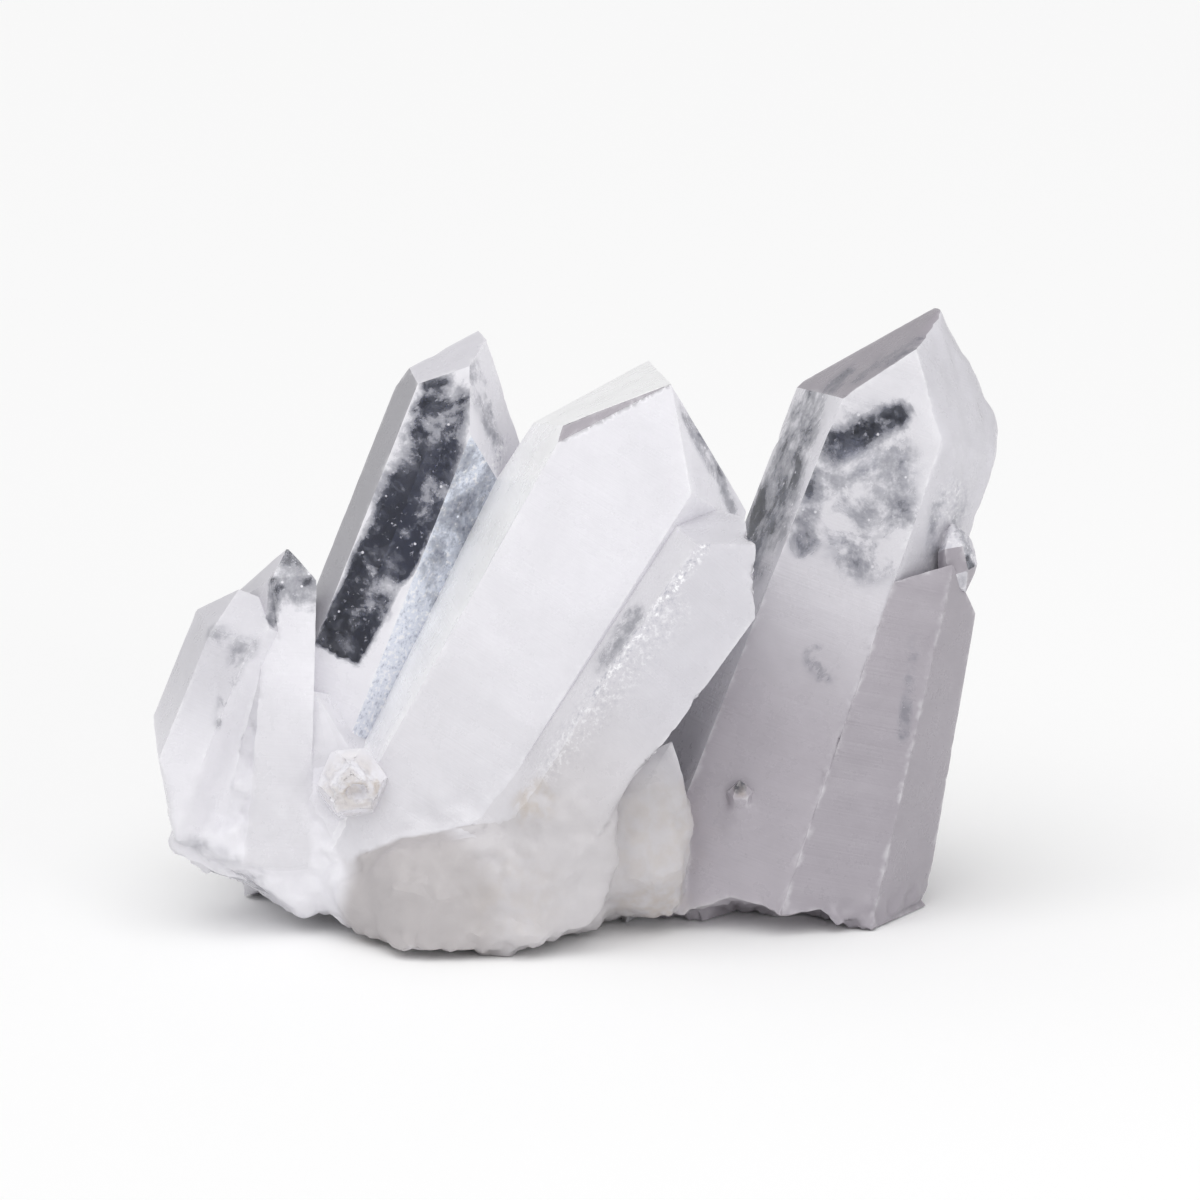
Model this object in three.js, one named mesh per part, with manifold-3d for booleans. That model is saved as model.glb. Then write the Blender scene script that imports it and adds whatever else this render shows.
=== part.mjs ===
// Quartz crystal cluster: flat-faced crystals grown through one another on a lumpy rock base.
// Millimetres, +Z up, the viewer stands on the -Y side.
import * as THREE from "three";
import { ConvexGeometry } from "three/addons/geometries/ConvexGeometry.js";
import { mergeVertices } from "three/addons/utils/BufferGeometryUtils.js";
import Module from "manifold-3d";

// Finish of the stone
const STONE_COLOUR = 0xd8d6dc;
const STONE_ROUGHNESS = 0.22;
const STONE_METALNESS = 0.0;

// Natural angle between a quartz tip face and the crystal's cross-section
const TIP_SLOPE = 38;
// Every second tip face of a small crystal sits this much further out, so it stays smaller
const MINOR_TIP_SHARE = 1.07;

// A quartz crystal has this many sides
const SIDES = 6;

// Ground: the stone is sawn flat at this height, inside a block larger than the stone
const GROUND_HEIGHT = 0;
const GROUND_BLOCK = 300;

// Corners closer together than this are one corner
const WELD_DISTANCE = 1e-4;
// Three planes whose normals span less than this meet in no usable corner
const SMALLEST_SPAN = 1e-6;
// A corner this little outside a plane still counts as on it
const PLANE_SLACK = 1e-5;

// Repeatable random numbers: multiplier and modulus of the sequence, and how a seed starts it
const RANDOM_MULTIPLIER = 48271;
const RANDOM_MODULUS = 2147483647;
const SEED_STEP = 7919;
const SEED_START = 17;

// Large crystals. foot is a point on the axis, right and back are the lean of the axis in degrees.
// Each face is [turn, slope, out]: turn is degrees round the axis from the viewer toward +X, slope is
// how many degrees the face looks up along the axis, and out is its distance from the foot.
const CRYSTALS = {
  tallClear: {
    foot: [-26.5, -3, 18.5],
    right: 22,
    back: 8.5,
    faces: [
      [-7, 0, 8.7],
      [-65, 0, 15],
      [42, 0, 3.1],
      [-126, 0, 11.5],
      [115, 0, 5.8],
      [175, 0, 8],
      [-49, 38, 41.8],
      [54, 20, 16.7],
      [-128, 28, 32.2],
      [109, 44, 34.4],
      [160, 45, 49.8],
      [0, -90, 18],
    ],
  },
  largeMilky: {
    foot: [-13.5, -8, 14.5],
    right: 30,
    back: 2.5,
    faces: [
      [-12, 1, 13.1],
      [-78, -0.5, 16.1],
      [46, -1, 10.1],
      [-124, 8, 23.6],
      [107, 0, 10],
      [167, 0, 15],
      [-53, 23, 35],
      [-89, 37, 42.6],
      [51, 38, 39.8],
      [99, 61, 50.4],
      [0, -90, 12],
    ],
  },
  largeRight: {
    foot: [29.5, -2, 15.5],
    right: 20.5,
    back: 10,
    faces: [
      [-16, 0, 12.3],
      [-75, 1, 16.4],
      [46, 1, 9.8],
      [-135, 0, 18.2],
      [105, 0, 7.7],
      [165, 0, 12],
      [-76, 33, 40],
      [44, 33, 34.4],
      [105, 51, 47.1],
      [177, 28, 30],
      [0, -90, 24],
    ],
  },
  leftMilky: {
    foot: [-48, -13, 17],
    right: 22.5,
    back: 11,
    faces: [
      [-10, 0, 7.9],
      [-73, 0, 8.8],
      [-131, 0, 8.5],
      [49, 0, 3.7],
      [109, 0, 6.9],
      [169, 0, 7],
      [-68, 25, 17.1],
      [-11, 36, 18.8],
      [54, 52, 20.9],
      [171, 36, 13.1],
      [-91, -32, 4.3],
      [0, -90, 6.5],
    ],
  },
  smallClear: {
    foot: [-37.5, -12, 16.5],
    right: 3.5,
    back: 11,
    faces: [
      [9, 0, 5.2],
      [-52, 2, 7],
      [96, 2, 3.3],
      [-112, 0, 8.8],
      [133, 0, 6.1],
      [-172, 0, 7.9],
      [1, 40, 22.7],
      [-67, 34, 20.1],
      [96, 44, 21.6],
      [-172, 39, 18.8],
      [0, -90, 9],
    ],
  },
  lowFront: {
    foot: [-4.5, -20, 12],
    right: 39.5,
    back: 1.5,
    faces: [
      [-13, 0, 7.3],
      [-63, -5, 7.9],
      [101, 4, 2.2],
      [167, 0, 6],
      [-69, 45, 39.4],
      [102, 37, 24.4],
      [165, 40, 32.1],
      [0, -90, 11],
    ],
  },
  rightPlate: {
    foot: [41.5, -4, 6],
    right: 11.5,
    back: 10,
    faces: [
      [14, -2, 8.8],
      [57, -2, 3.6],
      [-109, 7, 8.3],
      [135, 7, 4.9],
      [170, 0, 12],
      [-130, 50, 26.9],
      [116, 55, 29.4],
      [0, -90, 8],
    ],
  },
};

// Small six-sided points: flat radius, tip height above the foot and root depth below it
const POINTS = {
  stubbyBrown: { foot: [-28.5, -13, 18], right: 4, back: -66, spin: 10, radius: 4, tip: 13, root: 8 },
  tinyOnFace: { foot: [21.3, -12.2, 16.6], right: 0, back: -22, spin: 0, radius: 1.6, tip: 3.4, root: 3 },
  backLeft: { foot: [-39, 5, 8], right: -14, back: 16, spin: 8, radius: 5.5, tip: 26, root: 7 },
  backMiddleLeft: { foot: [-23, 10, 8], right: 4, back: 24, spin: 25, radius: 7, tip: 36, root: 7 },
  backMiddle: { foot: [2, 11, 8], right: 16, back: 20, spin: -5, radius: 8.5, tip: 45, root: 7 },
  backRight: { foot: [27, 10, 8], right: 20, back: 26, spin: 15, radius: 7, tip: 34, root: 7 },
  farRight: { foot: [40, 6, 6], right: 8, back: 20, spin: 5, radius: 5, tip: 26, root: 5 },
};

// Broken and uneven pieces, as their corner points
const CHUNKS = {
  flake: [
    [8.5, -15, 25],
    [12.5, -16, 25.4],
    [14.2, -17, 20.6],
    [15.5, -17, 15.4],
    [15, -18, 10.8],
    [13.5, -17, 3.5],
    [12.5, -16, 1.2],
    [7.4, -16, 1.8],
    [3.4, -16, 3],
    [2.5, -21.5, 9],
    [10, -22, 8.2],
    [13.8, -20, 9.8],
    [9, -19.5, 20],
    [4.5, -20.5, 19.5],
    [6.5, -18.5, 23.5],
    [12, -8, 20],
    [13, -8, 4],
    [4, -8, 8],
  ],
  lowFoot: [
    [6.1, -26.2, 21.1],
    [5.5, -25.8, 17.8],
    [5.8, -25.6, 12.2],
    [3.9, -26, 6.1],
    [1.4, -26.6, 3.3],
    [-3.3, -28.2, 2.5],
    [-9, -28.4, 3.8],
    [-13.7, -27.6, 7.8],
    [-15.3, -25.4, 13.5],
    [-9.6, -26.6, 14.3],
    [-1, -26.8, 21.4],
    [2.7, -28.3, 16.1],
    [-3.3, -28.3, 10.3],
    [-8, -14, 3],
    [2, -14, 4],
    [-4, -14, 18],
  ],
  leftMass: [
    [-36, -12, 30],
    [-33.2, -11.9, 31],
    [-36, -15.6, 21],
    [-31.5, -15.2, 22],
    [-26, -14.6, 19],
    [-36, -17.2, 12],
    [-30, -18.2, 12],
    [-25, -18, 12],
    [-35, -17.5, 4],
    [-29, -19, 4],
    [-25, -19, 6],
    [-36, -4, 28],
    [-28, -4, 28],
    [-36, -4, 4],
    [-26, -4, 4],
  ],
  rightClear: [
    [48.6, -4.6, 51.9],
    [46.7, -5, 47.7],
    [51.3, -4, 49.5],
    [52.3, -4, 46.1],
    [50.5, -5, 42.4],
    [46.8, -5.5, 44.2],
    [47.5, -7.2, 48.6],
    [49.9, -7.2, 49],
    [50.6, -6.8, 45.7],
    [47.9, -7.2, 45],
    [48.2, -1, 49.9],
    [50.7, -1, 47.9],
    [50, -1, 41.9],
  ],
  leftShard: [
    [-51.4, -15, 14.2],
    [-50.5, -15, 14.7],
    [-52, -15, 11],
    [-50.9, -15.5, 10],
    [-47.1, -15.5, 8],
    [-41, -15.5, 6.4],
    [-52.2, -9, 9.2],
    [-51.4, -9, 12.4],
    [-42.2, -9, 5.2],
    [-44.7, -9, 9.9],
  ],
  leftRock: [
    [-49, -18, 13.1],
    [-46.4, -18, 11.5],
    [-43.4, -18, 10],
    [-40, -18, 8.1],
    [-38.5, -17.8, 5.4],
    [-36, -17.5, 3.4],
    [-33, -17.5, 2.4],
    [-31, -17, 2],
    [-31, -18, 7],
    [-31, -15, 14],
    [-41, -16.5, 12],
    [-47, -15.5, 13.5],
    [-49.5, -14, 14],
    [-45, 0, 14],
    [-42, 0, 6],
    [-30, 0, 0],
    [-40, -8, 2],
    [-30, 0, 16],
  ],
  frontRock: [
    [-28, -20, 10],
    [-23, -24, 13.4],
    [-17, -26, 13.8],
    [-12, -26, 15.5],
    [-31, -17, 1],
    [-26, -22, 2.3],
    [-21, -29.5, 1.3],
    [-17.5, -29, 1.4],
    [-11, -28, 1.4],
    [-4, -26.5, 1.2],
    [2.5, -19, 1.5],
    [6.5, -14, 1.6],
    [-24, -26, 8.4],
    [-17, -30, 8.8],
    [-13, -28, 8],
    [-29.6, -17, 6.8],
    [-31.7, -14, 2.8],
    [-20, -10, 0],
    [0, -12, 0],
    [-20, -12, 12],
    [0, -14, 14],
  ],
};

// Rock lumps of the base: centre, half sizes, number of corners and the seed of their shape
const LUMPS = [
  { centre: [-25, -18.5, 6], half: [6.5, 5, 6], corners: 26, seed: 4 },
  { centre: [-18, -25, 6], half: [7.5, 5.5, 5.5], corners: 26, seed: 12 },
  { centre: [-9, -25, 3], half: [8, 5, 3.5], corners: 26, seed: 17 },
  { centre: [-8, -4, 7], half: [30, 16, 11], corners: 40, seed: 34 },
  { centre: [24, -5, 5], half: [17, 10, 6], corners: 40, seed: 55 },
  { centre: [-35, 8, 9], half: [11, 10, 8.5], corners: 30, seed: 61 },
  { centre: [-15, 14, 7], half: [16, 13, 11], corners: 32, seed: 67 },
  { centre: [8, 14, 6], half: [15, 14, 10], corners: 32, seed: 71 },
  { centre: [27, 13, 7], half: [14, 12, 11], corners: 32, seed: 73 },
  { centre: [38, 6, 5], half: [9, 9, 8], corners: 30, seed: 79 },
  { centre: [-25, 19, 4], half: [9, 7, 5], corners: 24, seed: 83 },
  { centre: [-3, 22, 4], half: [10, 7, 6], corners: 24, seed: 97 },
  { centre: [19, 21, 4], half: [10, 6, 6], corners: 24, seed: 101 },
];

// Hollows broken out of the underside, described like the lumps
const HOLLOWS = [
  { centre: [12, -16, -2], half: [8, 11, 4.4], corners: 46, seed: 7 },
  { centre: [21, -18, -2], half: [9, 14, 6.6], corners: 46, seed: 9 },
  { centre: [29, -18, -2], half: [7.5, 13, 6], corners: 46, seed: 10 },
];

const radians = THREE.MathUtils.degToRad;
const wasm = await Module();
wasm.setup();

// Axis of a crystal with the direction that looks at the viewer and the one that looks right
function crystalFrame(right, back) {
  const axis = new THREE.Vector3(Math.tan(radians(right)), Math.tan(radians(back)), 1).normalize();
  const front = new THREE.Vector3(0, -1, 0);
  front.addScaledVector(axis, -front.dot(axis)).normalize();
  const side = new THREE.Vector3().crossVectors(front, axis).negate();
  return { axis, front, side };
}

// Plane of one face, as its outward normal and its distance from the origin
function facePlane(frame, foot, [turn, slope, out]) {
  const across = Math.cos(radians(slope));
  const normal = new THREE.Vector3()
    .addScaledVector(frame.front, across * Math.cos(radians(turn)))
    .addScaledVector(frame.side, across * Math.sin(radians(turn)))
    .addScaledVector(frame.axis, Math.sin(radians(slope)));
  return { normal, distance: normal.dot(foot) + out };
}

// Corner where three planes meet, or null where they do not
function meet(a, b, c) {
  const bc = new THREE.Vector3().crossVectors(b.normal, c.normal);
  const span = a.normal.dot(bc);
  if (Math.abs(span) < SMALLEST_SPAN) return null;
  const ca = new THREE.Vector3().crossVectors(c.normal, a.normal);
  const ab = new THREE.Vector3().crossVectors(a.normal, b.normal);
  return bc
    .multiplyScalar(a.distance)
    .addScaledVector(ca, b.distance)
    .addScaledVector(ab, c.distance)
    .divideScalar(span);
}

// Convex body behind a set of planes
function bodyBehind(planes) {
  const inside = (corner) => planes.every((p) => p.normal.dot(corner) <= p.distance + PLANE_SLACK);
  const corners = [];
  for (let i = 0; i < planes.length; i += 1) {
    for (let j = i + 1; j < planes.length; j += 1) {
      for (let k = j + 1; k < planes.length; k += 1) {
        const corner = meet(planes[i], planes[j], planes[k]);
        if (corner && inside(corner)) corners.push(corner);
      }
    }
  }
  return solidOf(new ConvexGeometry(corners));
}

// Closed solid from a three.js shape
function solidOf(geometry) {
  const bare = geometry.index ? geometry.toNonIndexed() : geometry;
  bare.deleteAttribute("normal");
  bare.deleteAttribute("uv");
  const merged = mergeVertices(bare, WELD_DISTANCE);
  const mesh = new wasm.Mesh({
    numProp: 3,
    vertProperties: new Float32Array(merged.attributes.position.array),
    triVerts: new Uint32Array(merged.index.array),
  });
  mesh.merge();
  return new wasm.Manifold(mesh);
}

// Large crystal from its own list of faces
function crystal({ foot, right, back, faces }) {
  const frame = crystalFrame(right, back);
  const base = new THREE.Vector3(...foot);
  return bodyBehind(faces.map((face) => facePlane(frame, base, face)));
}

// Small crystal with even sides and a six-faced tip
function point({ foot, right, back, spin, radius, tip, root }) {
  const tipDistance = tip * Math.sin(radians(TIP_SLOPE));
  const faces = [[0, -90, root]];
  for (let side = 0; side < SIDES; side += 1) {
    const turn = spin + (side * 360) / SIDES;
    const share = side % 2 === 0 ? 1 : MINOR_TIP_SHARE;
    faces.push([turn, 0, radius]);
    faces.push([turn, TIP_SLOPE, tipDistance * share]);
  }
  return crystal({ foot, right, back, faces });
}

// Repeatable random numbers between 0 and 1
function randomFrom(seed) {
  let state = seed * SEED_STEP + SEED_START;
  return () => {
    state = (state * RANDOM_MULTIPLIER) % RANDOM_MODULUS;
    return state / RANDOM_MODULUS;
  };
}

// Rounded lump whose corners are scattered over an ellipsoid
function lump({ centre, half, corners, seed }) {
  const random = randomFrom(seed);
  const points = [];
  for (let i = 0; i < corners; i += 1) {
    const height = 2 * random() - 1;
    const angle = 2 * Math.PI * random();
    const ring = Math.sqrt(1 - height * height);
    points.push(
      new THREE.Vector3(
        centre[0] + half[0] * ring * Math.cos(angle),
        centre[1] + half[1] * ring * Math.sin(angle),
        centre[2] + half[2] * height,
      ),
    );
  }
  return solidOf(new ConvexGeometry(points));
}

// Broken piece stretched over its corner points
function chunk(corners) {
  return solidOf(new ConvexGeometry(corners.map((corner) => new THREE.Vector3(...corner))));
}

// Block below the height at which the stone is sawn flat
function ground() {
  const block = new THREE.BoxGeometry(GROUND_BLOCK, GROUND_BLOCK, GROUND_BLOCK);
  block.translate(0, 0, GROUND_HEIGHT - GROUND_BLOCK / 2);
  return solidOf(block);
}

const grown = [
  ...Object.values(CRYSTALS).map(crystal),
  ...Object.values(POINTS).map(point),
  ...Object.values(CHUNKS).map(chunk),
  ...LUMPS.map(lump),
].reduce((all, next) => all.add(next));
const stone = [ground(), ...HOLLOWS.map(lump)].reduce((all, next) => all.subtract(next), grown);

// Mesh of the finished stone, its origin at the middle of the ground face of its bounding box
function finishedMesh(name, solid) {
  const mesh = solid.getMesh();
  const geometry = new THREE.BufferGeometry();
  geometry.setAttribute("position", new THREE.BufferAttribute(new Float32Array(mesh.vertProperties), 3));
  geometry.setIndex(new THREE.BufferAttribute(new Uint32Array(mesh.triVerts), 1));
  geometry.computeBoundingBox();
  const { min, max } = geometry.boundingBox;
  geometry.translate(-(min.x + max.x) / 2, -(min.y + max.y) / 2, -min.z);
  const material = new THREE.MeshStandardMaterial({
    color: STONE_COLOUR,
    roughness: STONE_ROUGHNESS,
    metalness: STONE_METALNESS,
  });
  const result = new THREE.Mesh(geometry, material);
  result.name = name;
  return result;
}

const part = new THREE.Group();
part.name = "quartz_crystal_cluster";
part.add(finishedMesh("quartz_cluster", stone));

export default part;
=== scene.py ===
"""Quartz crystal cluster: the stone's visible surface, its milky and clear quartz, and a plain studio."""

import math
from typing import NamedTuple

import bpy
import numpy as np
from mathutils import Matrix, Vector, geometry, noise


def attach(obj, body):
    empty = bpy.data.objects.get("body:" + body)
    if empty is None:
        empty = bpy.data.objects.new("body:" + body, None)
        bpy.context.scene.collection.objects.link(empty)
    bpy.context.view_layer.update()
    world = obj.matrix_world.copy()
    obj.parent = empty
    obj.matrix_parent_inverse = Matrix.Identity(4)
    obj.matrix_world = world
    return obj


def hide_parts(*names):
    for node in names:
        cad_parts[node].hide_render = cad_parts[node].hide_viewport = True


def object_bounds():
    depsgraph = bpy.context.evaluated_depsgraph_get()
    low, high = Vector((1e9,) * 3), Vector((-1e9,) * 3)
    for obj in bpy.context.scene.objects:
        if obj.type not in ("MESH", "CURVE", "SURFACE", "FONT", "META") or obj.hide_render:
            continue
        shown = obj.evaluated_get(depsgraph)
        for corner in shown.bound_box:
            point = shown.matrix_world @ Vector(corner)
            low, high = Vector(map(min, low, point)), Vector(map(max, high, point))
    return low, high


bl_info = {
    "name": "Quartz crystal cluster",
    "version": (1, 0, 0),
    "blender": (4, 5, 0),
    "location": "View3D > Sidebar > Quartz",
    "description": "Dresses the quartz crystal cluster and sets its stage",
    "category": "Object",
}

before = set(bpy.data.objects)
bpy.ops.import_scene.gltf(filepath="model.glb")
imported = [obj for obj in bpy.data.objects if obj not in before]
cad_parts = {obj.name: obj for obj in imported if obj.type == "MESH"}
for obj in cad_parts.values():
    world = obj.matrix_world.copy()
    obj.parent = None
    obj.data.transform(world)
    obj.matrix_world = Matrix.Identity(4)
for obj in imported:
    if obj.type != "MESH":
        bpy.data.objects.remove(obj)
solid_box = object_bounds()

STONE_NODE = "quartz_cluster"
STONE_PIECE = "quartz_stone"
MM = 0.001

# Smallest length to divide by, smallest area of a triangle, and slack at its edges and between two points
TINY = 1e-12
FLAT_AREA = 1e-9
EDGE_SLACK = 1e-6
CUT_SLACK = 1e-7

# Grid of the fine surface: start of its random draws, how far a point strays as a share of the spacing, the
# share of the spacing that stays free along a border, and the widest spacing in millimetres that counts there
GRID_SEED = 5
GRID_STRAY = 0.12
RIM_SHARE = 0.55
RIM_SPACING = 0.68
# A face that looks up or down more than this is laid out from the X axis, any other one from the Z axis
STEEP = 0.9
# Triangles are made inside the borders only
INSIDE_BORDERS = 1


class Crystal(NamedTuple):
    """A crystal: a point on its axis in millimetres, its lean in degrees, its half width, reach and milk."""

    foot: tuple
    right: float
    back: float
    half_width: float
    tip: float
    top_milk: str
    foot_milk: str


# Main crystals and small points, each with the reach of its tip above the point on its axis
CRYSTALS = {
    "tall_clear": Crystal((-27.3, -3.6, 18.5), 22.0, 8.5, 9.5, 60.0, "milk_white", "milk_white"),
    "large_milky": Crystal((-14.3, -8.6, 14.5), 30.0, 2.5, 15.0, 62.0, "milk_white", "milk_pale"),
    "large_right": Crystal((28.7, -2.6, 15.5), 20.5, 10.0, 14.0, 66.0, "milk_pale", "milk_grey"),
    "left_milky": Crystal((-48.8, -13.6, 17.0), 22.5, 11.0, 8.5, 28.0, "milk_soft", "milk_white"),
    "small_clear": Crystal((-38.3, -12.6, 16.5), 3.5, 11.0, 7.0, 33.0, "milk_white", "milk_pale"),
    "low_front": Crystal((-5.3, -20.6, 12.0), 39.5, 1.5, 11.0, 52.0, "milk_soft", "milk_foot"),
    "right_plate": Crystal((40.7, -4.6, 6.0), 11.5, 10.0, 14.5, 40.0, "milk_plate", "milk_plate"),
    "right_clear": Crystal((48.7, -5.6, 43.5), 0.0, 4.0, 2.8, 9.0, "milk_soft", "milk_soft"),
    "stubby_brown": Crystal((-29.3, -13.6, 18.0), 4.0, -66.0, 4.6, 13.0, "milk_white", "milk_white"),
    "tiny_on_face": Crystal((20.5, -12.9, 16.6), 0.0, -22.0, 1.9, 3.4, "milk_grey", "milk_grey"),
    "left_shard": Crystal((-42.5, -14.4, 7.0), -63.0, 0.0, 3.0, 11.0, "milk_soft", "milk_soft"),
    "back_left": Crystal((-39.8, 4.4, 8.0), -14.0, 16.0, 6.3, 26.0, "milk_white", "milk_soft"),
    "back_middle_left": Crystal((-23.8, 9.4, 8.0), 4.0, 24.0, 8.0, 36.0, "milk_soft", "milk_soft"),
    "back_middle": Crystal((1.2, 10.4, 8.0), 16.0, 20.0, 9.7, 45.0, "milk_white", "milk_soft"),
    "back_right": Crystal((26.2, 9.4, 8.0), 20.0, 26.0, 8.0, 34.0, "milk_soft", "milk_grey"),
    "far_right": Crystal((39.2, 5.4, 6.0), 8.0, 20.0, 5.7, 26.0, "milk_grey", "milk_grey"),
}
NAMES = list(CRYSTALS)
SMALL_CRYSTALS = ("stubby_brown", "tiny_on_face", "left_shard", "right_clear")
# Distances from a small crystal's axis, in half widths, within which a face has closer points or is no rock
SMALL_REACH = 1.3
POINT_REACH = 1.2
# How much more a distance beyond a crystal's ends counts than one from its axis
BEYOND_WEIGHT = 2

# Faces of the underside look down further than this, and lie lower than this in millimetres
GROUND_FACING = -0.95
GROUND_FACE_HEIGHT = 0.05
# Points lower than this stay on the ground
GROUND = 0.01

# Cosine of the angle within which two directions count as the same
SAME_FACING = 0.985
# Faces whose milk differs from the rest of their crystal, found by the direction in which they look. This is
# painted light and shade: lighter milk on faces that lie in shade, darker milk on faces that catch the most
# light, and the whitest on the lit top and bright left strip of the large crystal
FACE_LIGHT_AND_SHADE_MILKS = [
    ("tall_clear", (-0.82, -0.42, 0.39), "milk_dim"),
    ("tall_clear", (-0.30, -0.43, 0.85), "milk_soft"),
    ("tall_clear", (0.66, -0.74, -0.16), "blue_milk_painted_lighter"),
    ("large_milky", (-0.39, 0.01, 0.92), "painted_light_white"),
    ("large_milky", (-0.43, -0.54, 0.72), "milk_grey"),
    ("low_front", (-0.73, -0.45, 0.50), "milk_pale"),
    ("left_milky", (0.74, -0.65, -0.18), "milk_white"),
    ("large_right", (-0.56, -0.11, 0.82), "milk_plate"),
    ("large_right", (-0.88, -0.25, 0.39), "milk_white"),
    ("large_right", (0.77, -0.51, 0.39), "milk_soft"),
    ("large_milky", (-0.85, -0.21, 0.49), "painted_light_white"),
    ("right_plate", (0.89, 0.26, -0.38), "milk_soft"),
]

# Clear zones in the quartz: crystal, start and end of the zone's middle line, its half width at both ends,
# how softly it ends, the direction in which the face looks, or None for every face, and how clear it is
CLEAR_ZONES = [
    ("tall_clear", (-17.6, -4.2, 67.0), (-22.1, -6.8, 53.3), 3.8, 4.4, 0.8, (-0.06, -0.98, 0.17), 1.15),
    ("tall_clear", (-22.1, -6.8, 53.3), (-31.4, -9.3, 35.1), 4.2, 3.2, 0.35, (-0.06, -0.98, 0.17), 1.15),
    ("tall_clear", (-13.5, -3.4, 70.0), (-10.5, 0.5, 60.0), 2.4, 1.6, 1.2, (0.86, -0.5, 0.1), 0.32),
    ("tall_clear", (-13.6, -4.2, 58.5), (-18.2, -4.8, 43.0), 4.6, 4.0, 1.3, (0.66, -0.74, -0.16), 0.34),
    ("large_right", (32.5, -4.7, 61.3), (40.5, -5.4, 65.3), 2.8, 1.8, 1.4, (-0.2, -0.95, 0.24), 1.10),
    ("large_right", (30.5, -5.0, 58.4), (28.8, -7.0, 49.2), 1.7, 1.9, 1.4, (-0.2, -0.95, 0.24), 0.48),
    ("large_right", (35.6, -6.1, 59.6), (36.8, -8.4, 50.7), 7.0, 5.6, 1.4, (-0.2, -0.95, 0.24), 0.40),
    ("large_right", (41.4, -8.7, 53.1), (42.4, -9.7, 50.2), 1.7, 1.5, 1.4, (-0.2, -0.95, 0.24), 0.45),
    ("large_right", (30.3, -11.0, 35.0), (31.2, -11.6, 33.3), 1.6, 1.6, 1.4, (-0.2, -0.95, 0.24), 0.36),
    ("large_right", (28.5, 6.0, 62.0), (23.6, 4.0, 50.0), 6.0, 8.0, 1.3, (-0.88, -0.25, 0.39), 0.72),
    ("large_right", (34.2, 3.4, 69.0), (42.9, -2.0, 74.2), 3.4, 3.0, 1.4, (-0.56, -0.11, 0.82), 0.36),
    ("small_clear", (-37.7, -10.2, 48.7), (-37.1, -13.0, 45.1), 4.6, 4.2, 1.0, None, 0.55),
    ("small_clear", (-38.9, -13.1, 45.5), (-39.5, -13.8, 40.5), 1.1, 0.9, 0.9, None, 0.95),
    ("left_milky", (-38.7, -13.1, 45.5), (-39.3, -13.8, 40.5), 1.2, 0.9, 0.9, None, 1.0),
    ("left_milky", (-51.4, -19.0, 12.4), (-42.3, -19.0, 8.0), 2.6, 2.4, 0.8, None, 0.15),
    ("right_clear", (48.6, -6.0, 43.0), (48.8, -5.6, 53.0), 4.2, 4.2, 0.8, None, 0.28),
    ("right_clear", (49.3, -7.0, 46.8), (50.6, -6.0, 45.2), 1.1, 0.8, 0.6, None, 1.0),
    ("left_shard", (-52.0, -15.6, 12.0), (-42.0, -16.0, 7.0), 3.4, 3.0, 0.8, None, 0.28),
    ("left_milky", (-43.7, -17.6, 36.6), (-45.6, -19.4, 28.5), 1.3, 1.1, 1.4, None, 0.27),
    ("left_milky", (-46.5, -16.8, 39.5), (-40.5, -17.8, 37.3), 1.8, 1.8, 1.4, None, 0.20),
    ("tiny_on_face", (20.5, -14.6, 19.9), (20.5, -14.4, 18.8), 1.2, 0.9, 0.9, None, 0.7),
    ("large_milky", (13.6, -15.6, 67.8), (19.7, -11.6, 54.2), 1.8, 1.4, 1.4, (0.85, -0.47, 0.24), 0.32),
    ("low_front", (6.5, -22.8, 42.8), (3.0, -23.1, 37.4), 2.2, 1.9, 1.4, (-0.73, -0.45, 0.5), 0.28),
    ("right_plate", (42.9, -10.7, 37.3), (41.4, -12.1, 25.1), 0.8, 1.0, 1.4, (0.26, -0.96, 0.08), 0.21),
    ("tall_clear", (-24.0, 6.0, 58.0), (-31.0, 2.0, 38.0), 4.5, 4.0, 1.4, (-0.78, 0.58, 0.23), 0.20),
    ("large_milky", (2.0, 9.0, 56.0), (-4.0, 8.5, 42.0), 6.0, 5.0, 1.4, (0.18, 0.97, -0.14), 0.18),
    ("large_right", (38.0, 13.0, 66.0), (40.0, 14.0, 54.0), 6.0, 6.0, 1.4, (0.16, 0.95, 0.28), 0.22),
    ("large_right", (34.0, 14.5, 48.0), (31.0, 14.5, 36.0), 5.0, 4.0, 1.4, (0.19, 0.95, -0.24), 0.18),
    ("right_plate", (46.0, 6.0, 56.0), (45.0, 7.0, 44.0), 5.0, 4.0, 1.4, (0.89, 0.26, -0.38), 0.18),
    ("back_middle", (15.0, 28.0, 50.0), (9.0, 22.0, 36.0), 9.0, 6.0, 1.2, None, 0.8),
    ("back_left", (-45.0, 11.0, 32.0), (-43.0, 9.0, 24.0), 6.0, 4.0, 1.2, None, 0.8),
    ("back_right", (36.0, 24.0, 38.0), (33.0, 20.0, 28.0), 7.0, 4.0, 1.2, None, 0.8),
]
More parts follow.
